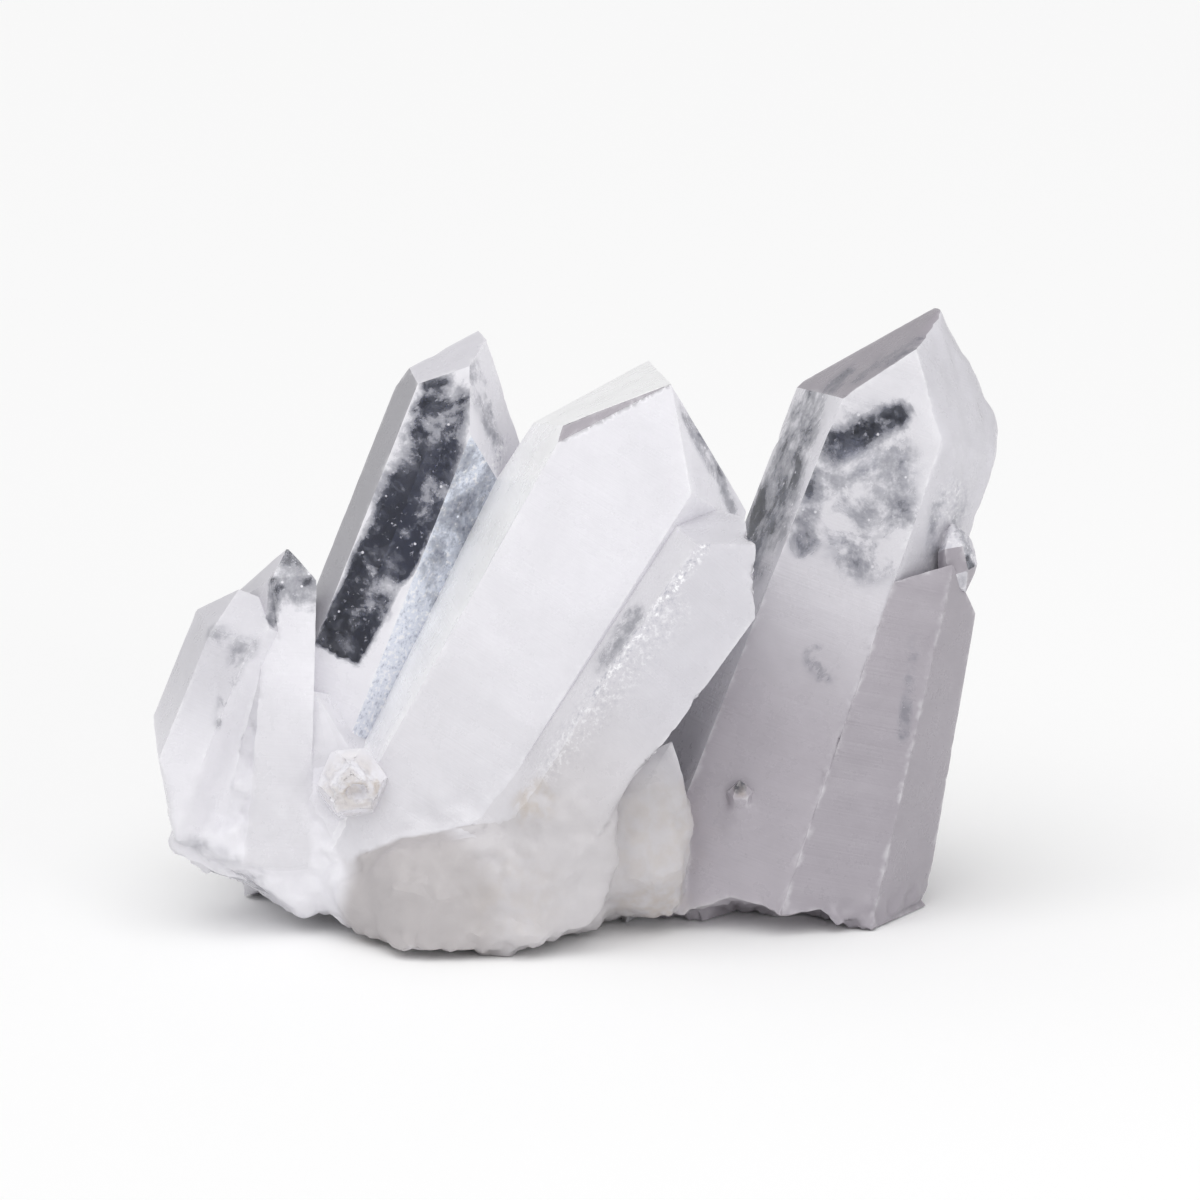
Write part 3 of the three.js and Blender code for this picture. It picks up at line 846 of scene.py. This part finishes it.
def crisp_share(points):
    """Share of the broken pieces that kept their own edges, at each point."""
    share = np.zeros(len(points))
    for centre, half_width in CRISP_ZONES:
        share = np.maximum(share, ball_share(points, centre, half_width, ZONE_REACH, ZONE_FADE))
    return share


def mass_share(points):
    """Share of the grown-together mass at each point, leaving out the small crystals that stick out of it."""
    share = smooth_step(MASS_TOP - points[:, 2], 0, MASS_TOP - MASS_FULL)
    share *= smooth_step(MASS_RIGHT - points[:, 0], 0, MASS_FADE)
    share *= smooth_step(-points[:, 1], 0, MASS_FADE)
    for centre, half_width in MERGED_ZONES:
        share = np.maximum(share, ball_share(points, centre, half_width, ZONE_REACH, ZONE_FADE))
    share *= 1 - CRISPNESS * crisp_share(points)
    for name in FREE_CRYSTALS:
        crystal = CRYSTALS[name]
        axis = crystal_axis(crystal)
        foot = np.array(crystal.foot)
        along = np.clip((points - foot) @ axis, FREE_START * crystal.tip, crystal.tip)
        away = np.linalg.norm(points - foot - along[:, None] * axis, axis=1)
        share *= smooth_step(away, FREE_NEAR * crystal.half_width, FREE_FAR * crystal.half_width)
    return share


def settled(points, triangles, sides, shape, rocky):
    """Points after the rock is rounded and the crystals of the mass have grown into each other."""
    count = len(points)
    grounded = points[:, 2] < GROUND
    rock = np.where(rocky > ALL_ROCK, 1.0, np.where(rocky > SOME_ROCK, SOME_ROCK_FREEDOM, 0.0))
    mass = mass_share(points)
    rock[grounded] = 0
    mass[grounded] = 0
    for turn in range(max(shape.rock_rounding, shape.mass_rounding)):
        free = np.maximum(rock * (turn < shape.rock_rounding), mass * (turn < shape.mass_rounding))
        pull = neighbour_mean(points, sides, count) - points
        points = points + (ROUNDING_STEP * free)[:, None] * pull
    for turn in range(shape.crease_filling):
        if turn % FILLING_TURNS == 0:
            normals = point_normals(points, triangles, count)
        pull = neighbour_mean(points, sides, count) - points
        outward = np.maximum(np.sum(pull * normals, axis=1), 0)
        free = FILLING_STEP * np.maximum(mass, ROCK_FILLING * rock)
        points = points + (free * outward)[:, None] * normals
    return points


def broken_grains(places, width):
    """Height of broken stone at each place: flat grains of this width, each tilted its own way."""
    noise.seed_set(GRAIN_SEED)
    heights = []
    for place in places / width:
        _, middles = noise.voronoi(Vector(place))
        nearest = middles[0]
        tilt = noise.noise_vector(nearest * GRAIN_TURN)
        heights.append(GRAIN_HEIGHT * tilt.x + (Vector(place) - nearest).dot(tilt))
    return np.array(heights)


def stub_depth(points, owner):
    """How far the broken end of the short brown crystal lies back: coarse tilted grains round a hollow."""
    depth = np.zeros(len(points))
    own = np.where(owner == NAMES.index("stubby_brown"))[0]
    away = np.linalg.norm(points[own] - np.array(STUB_HOLLOW), axis=1)
    front = smooth_step(-points[own, 1], *STUB_FRONT)
    edge = STUB_HOLLOW_EDGE * STUB_HOLLOW_WIDTH
    hollow = STUB_HOLLOW_DEPTH * smooth_step(STUB_HOLLOW_WIDTH - away, 0, edge)
    grains = STUB_GRAIN_DEPTH * (STUB_GRAIN_LIFT + broken_grains(points[own], STUB_GRAIN))
    depth[own] = front * np.maximum(hollow + grains, 0)
    return depth


def point_owners(surface, crystal_of):
    """The crystal that each point belongs to, as its place in the list."""
    owner = np.zeros(len(surface.points), int)
    owner[surface.triangles.ravel()] = np.repeat(crystal_of[surface.face_of], 3)
    return owner


def face_height(points, normals, owner, shape):
    """Height of the slow waves and growth lines on crystal faces."""
    waves = shape.face_relief / MM * noise_at(points, "face_waves")
    along = np.sum(points * crystal_axes()[owner], axis=1) / LINE_WIDTH
    face = np.sum(points * normals, axis=1) / FACE_LINE_STEP
    lines = np.stack([along, owner * CRYSTAL_LINE_STEP, face], 1)
    return waves + shape.growth_steps / MM * noise_at(lines, "growth_lines")


def edge_depth(points, sharp, owner, sides, shape):
    """How far worn and chipped crystal edges lie back."""
    chipped = smooth_step(noise_at(points, "chipped_stretches"), *CHIPPED_LIMITS)
    chips = chipped * np.maximum(noise_at(points, "edge_chips"), 0) ** 2 * shape.edge_chips / MM
    low_front = owner == NAMES.index("low_front")
    chips[low_front] = RAGGED_FRONT * np.maximum(noise_at(points[low_front], "ragged_front"), 0)
    worn = sharp * (shape.edge_wear / MM + chips)
    for _ in range(WEAR_ROUNDS):
        worn = np.maximum(worn, WEAR_SPREAD * neighbour_mean(worn[:, None], sides, len(points))[:, 0])
    return worn


def rock_height(points, rocky, fringe, shape):
    """Height of uneven rock: lumps, crumbs and broken grains, less on the pieces that kept their edges."""
    rough = noise_at(points, "rock_lumps") + CRUMB_SHARE * noise_at(points, "rock_crumbs")
    broken = np.where((rocky > 0) | (fringe > 0))[0]
    rough[broken] += ROCK_GRAIN_SHARE * broken_grains(points[broken], ROCK_GRAIN)
    rough *= shape.rock_relief / MM * (1 - CRISP_SMOOTHNESS * crisp_share(points))
    return rough


def weathered(surface, shape, rock, crystal_of):
    """Points of the finished surface, and the shares of worn edge, rock and mass at each."""
    count = len(surface.points)
    sides = np.sort(np.concatenate([surface.triangles[:, [i, (i + 1) % 3]] for i in range(3)]), axis=1)
    sides = np.unique(sides, axis=0)
    rocky = share_of_rock(surface, rock)
    points = settled(surface.points, surface.triangles, sides, shape, rocky)
    normals = point_normals(points, surface.triangles, count)
    owner = point_owners(surface, crystal_of)
    grounded = points[:, 2] < GROUND
    mass = mass_share(points)
    bend = np.zeros(count)
    bend[list(surface.bend)] = list(surface.bend.values())
    sharp = np.clip((bend - WORN_BEND) / WORN_RANGE, 0, 1)
    crystal = (1.0 - rocky) * (1.0 - mass)
    fringe = np.clip(1 - points[:, 2] / FRINGE_HEIGHT, 0, 1)
    ragged = fringe * shape.rim_chips / MM * noise_at(points, "ragged_rim")
    uneven = np.maximum(np.maximum(rocky, fringe), MASS_RELIEF * mass)
    on_crystal = face_height(points, normals, owner, shape) * (1 - sharp)
    on_crystal -= edge_depth(points, sharp, owner, sides, shape)
    moved = crystal * on_crystal + uneven * rock_height(points, rocky, fringe, shape) + ragged
    moved -= stub_depth(points, owner)
    moved[grounded] = 0
    points = points + normals * moved[:, None]
    points[:, 2] = np.maximum(points[:, 2], 0.0)
    return points, sharp * crystal, np.maximum(rocky, FRINGE_ROCK * fringe), mass


def keep_inside(points):
    """Hold the points inside the solid stone's own box."""
    low, high = (np.array(corner) / MM for corner in solid_box)
    return np.clip(points, low, high)


def mesh_of(name, surface, points):
    """Mesh of the surface in metres, with none of its triangles lost."""
    mesh = bpy.data.meshes.new(name)
    mesh.from_pydata((points * MM).tolist(), [], surface.triangles.tolist())
    mesh.validate()
    mesh.update()
    if len(mesh.polygons) != len(surface.triangles):
        raise RuntimeError("the stone's surface lost triangles")
    return mesh


def mark_sharp_edges(mesh, face_of, rock, normals, mass):
    """Mark the edges where two flat faces meet at a clear angle, which is wider in rock, outside the mass."""
    seen = {}
    for polygon in mesh.polygons:
        for key in polygon.edge_keys:
            seen.setdefault(key, []).append(face_of[polygon.index])
    marks = []
    for edge in mesh.edges:
        pair = seen.get(tuple(sorted(edge.vertices)), [])
        sharp = False
        if len(pair) == 2 and pair[0] != pair[1]:
            limit = SHARP_ROCK if rock[pair[0]] and rock[pair[1]] else SHARP_CRYSTAL
            clear = normals[pair[0]] @ normals[pair[1]] < limit
            sharp = bool(clear and mass[edge.vertices[0]] < SOFT_MASS)
        marks.append(sharp)
    mesh.polygons.foreach_set("use_smooth", [True] * len(mesh.polygons))
    mesh.edges.foreach_set("use_edge_sharp", marks)


def add_values(mesh, name, kind, domain, values):
    """Store values on the mesh for the material to read."""
    field = "color" if kind == "FLOAT_COLOR" else "value"
    attribute = mesh.attributes.new(name, kind, domain)
    attribute.data.foreach_set(field, np.asarray(values, np.float32).ravel())


def milk_colours(places, normals, owners, rocky, finish):
    """Milk colour at each corner: that of the crystal from top to foot, of faces given painted light and
    shade, and of the rock.
    """
    crystals = CRYSTALS.values()
    feet = np.array([crystal.foot for crystal in crystals])[owners]
    tips = np.array([crystal.tip for crystal in crystals])[owners]
    tops = np.array([tuple(getattr(finish, crystal.top_milk)) for crystal in crystals])[owners]
    lows = np.array([tuple(getattr(finish, crystal.foot_milk)) for crystal in crystals])[owners]
    # Painted light and shade: faces that look one way get a lighter or darker milk, which their foot partly
    # shares
    for name, facing, milk in FACE_LIGHT_AND_SHADE_MILKS:
        own = (owners == NAMES.index(name)) & (normals @ np.array(facing) > SAME_FACING)
        tops[own] = tuple(getattr(finish, milk))
        lows[own] = FOOT_MILK_SHARE * lows[own] + (1 - FOOT_MILK_SHARE) * tops[own]
    along = np.sum((places - feet) * crystal_axes()[owners], axis=1)
    height = smooth_step(along / tips, *MILK_HEIGHTS)[:, None]
    colours = lows * (1 - height) + tops * height
    for centre, half_width, milk in ROCK_ZONES:
        near = ball_share(places, centre, half_width, ZONE_REACH, ROCK_TINT_FADE)
        share = (near * rocky)[:, None]
        colours = colours * (1 - share) + np.array(getattr(finish, milk)) * share
    return np.concatenate([colours, np.ones((len(colours), 1))], 1)


def stain_strength(places):
    """How strongly each point is stained."""
    strength = np.zeros(len(places))
    for centre, half_width, amount in STAINS:
        stained = ball_share(places, centre, half_width, STAIN_REACH, STAIN_FADE)
        strength = np.maximum(strength, stained * amount)
    return strength


class Nodes:
    """Short way to make and join the nodes of one material."""

    def __init__(self, material):
        material.use_nodes = True
        self.tree = material.node_tree
        self.tree.nodes.clear()

    def add(self, kind, settings=None, **inputs):
        """New node with its settings; an input is a value or another node's output."""
        node = self.tree.nodes.new(kind)
        for name, value in (settings or {}).items():
            setattr(node, name, value)
        for name, value in inputs.items():
            self.put(node, name.replace("_", " "), value)
        return node

    def put(self, node, name, value):
        """Set or join one input, by its name or its place."""
        socket = node.inputs[int(name)] if name.isdigit() else node.inputs[name]
        if isinstance(value, bpy.types.NodeSocket):
            self.tree.links.new(value, socket)
        else:
            socket.default_value = value

    def stored(self, name, output="Fac"):
        """Values stored on the mesh under this name."""
        node = self.add("ShaderNodeAttribute", {"attribute_name": name})
        return node.outputs[output]

    def math(self, operation, first, second=0.0, clamp=False):
        """Sum, product or other simple step of two numbers."""
        node = self.add("ShaderNodeMath", {"operation": operation, "use_clamp": clamp})
        self.put(node, "0", first)
        self.put(node, "1", second)
        return node.outputs[0]

    def ramp(self, value, low, high, to_low=0.0, to_high=1.0):
        """Smooth step of a number between two limits."""
        node = self.add("ShaderNodeMapRange", {"interpolation_type": "SMOOTHSTEP"})
        for name, number in (("Value", value), ("From Min", low), ("From Max", high)):
            self.put(node, name, number)
        self.put(node, "To Min", to_low)
        self.put(node, "To Max", to_high)
        return node.outputs["Result"]

    def blend(self, share, first, second):
        """Mix of two colours."""
        node = self.add("ShaderNodeMix", {"data_type": "RGBA"})
        for name, value in (("0", share), ("6", first), ("7", second)):
            self.put(node, name, value if isinstance(value, (float, bpy.types.NodeSocket)) else (*value, 1.0))
        return node.outputs[2]

    def cloud(self, where, scale, detail, roughness, distortion=0.0):
        """Cloudy pattern."""
        node = self.add("ShaderNodeTexNoise", Scale=scale, Detail=detail, Roughness=roughness)
        self.put(node, "Distortion", distortion)
        self.put(node, "Vector", where)
        return node.outputs["Fac"]

    def dots(self, where, scale, half_width):
        """Scattered round dots."""
        node = self.add("ShaderNodeTexVoronoi", Scale=scale, Randomness=1.0)
        self.put(node, "Vector", where)
        return self.ramp(node.outputs["Distance"], half_width, BUBBLE_CORE * half_width)

    def output(self, shader, inside=None):
        """Make this shader the material's surface, and the other one what is inside it."""
        result = self.add("ShaderNodeOutputMaterial", Surface=shader.outputs["BSDF"])
        if inside is not None:
            self.put(result, "Volume", inside.outputs["Volume"])


def clear_share(nodes, where, clouds):
    """How see-through the quartz is: its clear zones, broken up by wisps, veils, dust and bubbles."""
    clear = nodes.stored("clear")
    billows = nodes.ramp(clouds["billow"], *BILLOW_STEP)
    wisps = nodes.math("ADD", billows, nodes.ramp(clouds["veil"], *WISP_STEP))
    shifted = nodes.math("ADD", clear, nodes.math("MULTIPLY", wisps, nodes.ramp(clear, *WISP_START)))
    hazy_patch = nodes.math("MULTIPLY", nodes.ramp(shifted, *HAZE_STEP), HAZE)
    clear_patch = nodes.math("MAXIMUM", nodes.ramp(shifted, *OPEN_STEP), hazy_patch)
    veils = nodes.math("MULTIPLY", nodes.ramp(clouds["veil"], *VEIL_STEP), VEILS)
    dust = nodes.math("MULTIPLY", nodes.ramp(clouds["fleck"], *DUST_STEP), DUST)
    bubbles = nodes.math("MULTIPLY", nodes.dots(where, BUBBLES_PER_METRE, BUBBLE_WIDTH), BUBBLES)
    cloudiness = nodes.math("MAXIMUM", veils, nodes.math("MAXIMUM", dust, bubbles))
    return nodes.math("MULTIPLY", clear_patch, nodes.math("SUBTRACT", CLEAREST, cloudiness), clamp=True)


def body_colour(nodes, where, clouds, see_through, finish):
    """Colour of the quartz: mottled milk with dark pocks, bright flecks that are painted glints, and stains,
    painted shade in the clear zones, and bruised white edges that are partly painted highlights.
    """
    patches = nodes.cloud(where, *PATCH_CLOUD)
    flecked = nodes.stored("flecked")
    milky = nodes.add("ShaderNodeVectorMath", {"operation": "SCALE"})
    nodes.put(milky, "0", nodes.stored("milk", "Color"))
    nodes.put(milky, "Scale", nodes.ramp(clouds["billow"], *MOTTLE_STEP))
    pocks = nodes.math("MULTIPLY", nodes.ramp(clouds["fleck"], *POCK_STEP), POCKS)
    # Painted glints: the bright flecks of the flecked faces
    flecks = nodes.ramp(clouds["fleck"], *FLECK_STEP)
    stained = nodes.math("MULTIPLY", nodes.stored("stain"), nodes.ramp(patches, *STAIN_STEP))
    # Worn edges turn white: partly bruising, partly a painted highlight along the edges
    frosted_and_highlighted = nodes.math("MULTIPLY", nodes.stored("edge"), nodes.ramp(patches, *FROST_HIGHLIGHT_STEP))
    colour = milky.outputs[0]
    for share, tint in (
        (nodes.math("MULTIPLY", flecked, pocks), finish.window_shade_and_specks),
        (nodes.math("MULTIPLY", flecked, flecks), finish.frost_and_highlight),
        (stained, finish.stain),
        # Painted shade: the clear zones are tinted dark
        (see_through, finish.window_shade_and_specks),
        (frosted_and_highlighted, finish.frost_and_highlight),
    ):
        colour = nodes.blend(share, colour, tuple(tint))
    return colour


def face_gloss(nodes, clouds, see_through, rock, finish):
    """Roughness of the faces: duller on rock, glossier where the quartz is clear."""
    dull = nodes.math("MULTIPLY", rock, finish.rock_roughness - finish.milk_roughness)
    gloss = nodes.math("MULTIPLY", see_through, finish.clear_roughness - finish.milk_roughness)
    uneven = nodes.ramp(clouds["veil"], *GLOSS_STEP)
    base = nodes.math("ADD", finish.milk_roughness, dull)
    return nodes.math("ADD", base, nodes.math("ADD", gloss, uneven), clamp=True)


def fine_relief(nodes, where, rock):
    """Fine growth lines and pits of the faces."""
    line = nodes.add("ShaderNodeTexNoise", {"noise_dimensions": "1D"}, Scale=1.0)
    nodes.put(line, "Detail", LINE_DETAIL)
    nodes.put(line, "Roughness", LINE_ROUGHNESS)
    nodes.put(line, "W", nodes.math("MULTIPLY", nodes.stored("along"), LINES_PER_MM))
    pits = nodes.cloud(where, *PIT_CLOUD)
    line_height = nodes.math("MULTIPLY", line.outputs["Fac"], nodes.math("SUBTRACT", 1.0, rock))
    lines_part = nodes.math("MULTIPLY", line_height, LINE_HEIGHT)
    height = nodes.math("ADD", lines_part, nodes.math("MULTIPLY", pits, PIT_HEIGHT))
    relief = nodes.add("ShaderNodeBump", Strength=RELIEF_STRENGTH, Distance=RELIEF_DEPTH, Height=height)
    return relief.outputs["Normal"]


def quartz_material(finish):
    """Milky quartz that turns clear in its zones, where it is tinted dark as painted shade, with veils,
    bubbles, bruised white edges that are partly painted highlights, and stains.
    """
    material = bpy.data.materials.new("milky_and_clear_quartz")
    nodes = Nodes(material)
    where = nodes.add("ShaderNodeTexCoord").outputs["Object"]
    clouds = {
        "billow": nodes.cloud(where, *BILLOW_CLOUD),
        "veil": nodes.cloud(where, *VEIL_CLOUD),
        "fleck": nodes.cloud(where, *FLECK_CLOUD),
    }
    rock = nodes.stored("rock")
    see_through = clear_share(nodes, where, clouds)
    shader = nodes.add(
        "ShaderNodeBsdfPrincipled",
        Base_Color=body_colour(nodes, where, clouds, see_through, finish),
        Roughness=face_gloss(nodes, clouds, see_through, rock, finish),
        IOR=finish.refraction,
        Normal=fine_relief(nodes, where, rock),
        Transmission_Weight=see_through,
        Subsurface_Weight=finish.translucency,
        Subsurface_Scale=SPREAD_DEPTH,
        Subsurface_Radius=SPREAD_COLOUR,
    )
    fade = nodes.add(
        "ShaderNodeVolumeAbsorption", Color=(*finish.absorption, 1.0), Density=finish.absorption_density
    )
    nodes.output(shader, fade)
    return material


def plain_material(name, colour, roughness):
    """Even matt finish for the stage."""
    material = bpy.data.materials.new(name)
    nodes = Nodes(material)
    nodes.output(nodes.add("ShaderNodeBsdfPrincipled", Base_Color=(*colour, 1.0), Roughness=roughness))
    return material


def store_looks(mesh, surface, crystal_of, points, edge, rocky, finish):
    """Store on the mesh where it is clear, flecked, milky, worn, rocky and stained."""
    corner_points = surface.triangles.ravel()
    corner_faces = np.repeat(surface.face_of, 3)
    places = points[corner_points]
    owners = crystal_of[corner_faces]
    normals = surface.faces.normals[corner_faces]
    clear = zone_strength(places, CLEAR_ZONES, owners, normals)
    clear = np.maximum(clear - zone_strength(places, CLOUDED_ZONES, owners, normals), 0)
    flecked = zone_strength(places, FLECKED_ZONES, owners, normals)
    along = np.sum(places * crystal_axes()[owners], axis=1)
    milk = milk_colours(places, normals, owners, rocky[corner_points], finish)
    add_values(mesh, "clear", "FLOAT", "CORNER", clear)
    add_values(mesh, "flecked", "FLOAT", "CORNER", flecked)
    add_values(mesh, "along", "FLOAT", "CORNER", along)
    add_values(mesh, "milk", "FLOAT_COLOR", "CORNER", milk)
    add_values(mesh, "edge", "FLOAT", "POINT", edge)
    add_values(mesh, "rock", "FLOAT", "POINT", rocky)
    add_values(mesh, "stain", "FLOAT", "POINT", stain_strength(points))


class QUARTZ_OT_stone(bpy.types.Operator):
    """Build the stone's fine surface and give it its milky and clear quartz"""

    bl_idname = "quartz.stone"
    bl_label = "Stone"

    def execute(self, context):
        shape = context.scene.quartz_shape
        finish = context.scene.quartz_finish
        faces = FlatFaces(*welded_solid(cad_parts[STONE_NODE]))
        crystal_of, nearness = nearest_crystals(faces)
        rock = rock_faces(faces, crystal_of, nearness)
        spacings = face_spacings(faces, crystal_of, nearness, shape)
        surface = FineSurface(faces, spacings, GRID_SEED)
        points, edge, rocky, mass = weathered(surface, shape, rock, crystal_of)
        points = keep_inside(points)
        mesh = mesh_of(STONE_PIECE, surface, points)
        mark_sharp_edges(mesh, surface.face_of, rock, faces.normals, mass)
        store_looks(mesh, surface, crystal_of, points, edge, rocky, finish)
        mesh.materials.append(quartz_material(finish))
        stone = bpy.data.objects.new(STONE_PIECE, mesh)
        context.scene.collection.objects.link(stone)
        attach(stone, "root")
        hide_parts(STONE_NODE)
        return {"FINISHED"}


class QUARTZ_OT_stage(bpy.types.Operator):
    """Set the plain floor, the soft light and the camera"""

    bl_idname = "quartz.stage"
    bl_label = "Stage"

    def execute(self, context):
        stage = context.scene.quartz_stage
        self.lay_floor(context, stage)
        self.light_room(context, stage)
        self.place_camera(context, stage)
        context.scene.view_settings.view_transform = "Standard"
        return {"FINISHED"}

    def lay_floor(self, context, stage):
        """Plain pale floor under the stone."""
        half = stage.floor_width / 2
        mesh = bpy.data.meshes.new("floor")
        corners = [(-half, -half, 0), (half, -half, 0), (half, half, 0), (-half, half, 0)]
        mesh.from_pydata(corners, [], [(0, 1, 2, 3)])
        mesh.materials.append(plain_material("pale_floor", stage.floor_colour, FLOOR_ROUGHNESS))
        floor = bpy.data.objects.new("floor", mesh)
        floor.location.z = -FLOOR_DROP
        context.scene.collection.objects.link(floor)

    def light_room(self, context, stage):
        """Even room light, a wide light from above and a soft lamp at the front right."""
        world = bpy.data.worlds.new("room")
        world.use_nodes = True
        background = world.node_tree.nodes["Background"]
        background.inputs["Color"].default_value = ROOM_WHITE
        background.inputs["Strength"].default_value = stage.room_light
        context.scene.world = world
        sky = bpy.data.lights.new("wide_light", "SUN")
        sky.energy = stage.sky_light
        sky.angle = stage.sky_spread
        self.place_light(context, sky, Vector(SKY_PLACE))
        key = bpy.data.lights.new("front_lamp", "AREA")
        key.energy = stage.key_power
        key.size = stage.key_width
        self.place_light(context, key, Vector(stage.key_place))

    def place_light(self, context, light, place):
        """Put a light at a place and turn it to the stone."""
        lamp = bpy.data.objects.new(light.name, light)
        lamp.location = place
        lamp.rotation_euler = (Vector(LIGHT_AIM) - place).to_track_quat("-Z", "Y").to_euler()
        context.scene.collection.objects.link(lamp)

    def place_camera(self, context, stage):
        """Camera at the viewing angle, aimed at the stone."""
        data = bpy.data.cameras.new("camera")
        data.lens = stage.lens
        data.sensor_width = SENSOR_WIDTH
        camera = bpy.data.objects.new("camera", data)
        back = Vector((0, -math.cos(stage.elevation), math.sin(stage.elevation)))
        camera.location = Vector(stage.aim) + back * stage.distance
        camera.rotation_euler = (-back).to_track_quat("-Z", "Y").to_euler()
        context.scene.collection.objects.link(camera)
        context.scene.camera = camera


class VIEW3D_PT_quartz(bpy.types.Panel):
    """The steps that make the stone and its stage"""

    bl_label = "Quartz cluster"
    bl_space_type = "VIEW_3D"
    bl_region_type = "UI"
    bl_category = "Quartz"

    def draw(self, context):
        for step in (QUARTZ_OT_stone, QUARTZ_OT_stage):
            self.layout.operator(step.bl_idname)


CLASSES = (
    StoneShape,
    StoneFinish,
    StageSettings,
    QUARTZ_OT_stone,
    QUARTZ_OT_stage,
    VIEW3D_PT_quartz,
)
SETTINGS = {"quartz_shape": StoneShape, "quartz_finish": StoneFinish, "quartz_stage": StageSettings}


def register():
    """Make the settings, the steps and the panel known."""
    for made in CLASSES:
        bpy.utils.register_class(made)
    for name, group in SETTINGS.items():
        setattr(bpy.types.Scene, name, bpy.props.PointerProperty(type=group))


def unregister():
    """Take the settings, the steps and the panel away again."""
    for name in SETTINGS:
        delattr(bpy.types.Scene, name)
    for made in reversed(CLASSES):
        bpy.utils.unregister_class(made)


def main():
    """Build the stone and its stage."""
    register()
    bpy.ops.quartz.stone()
    bpy.ops.quartz.stage()


if __name__ == "__main__":
    main()
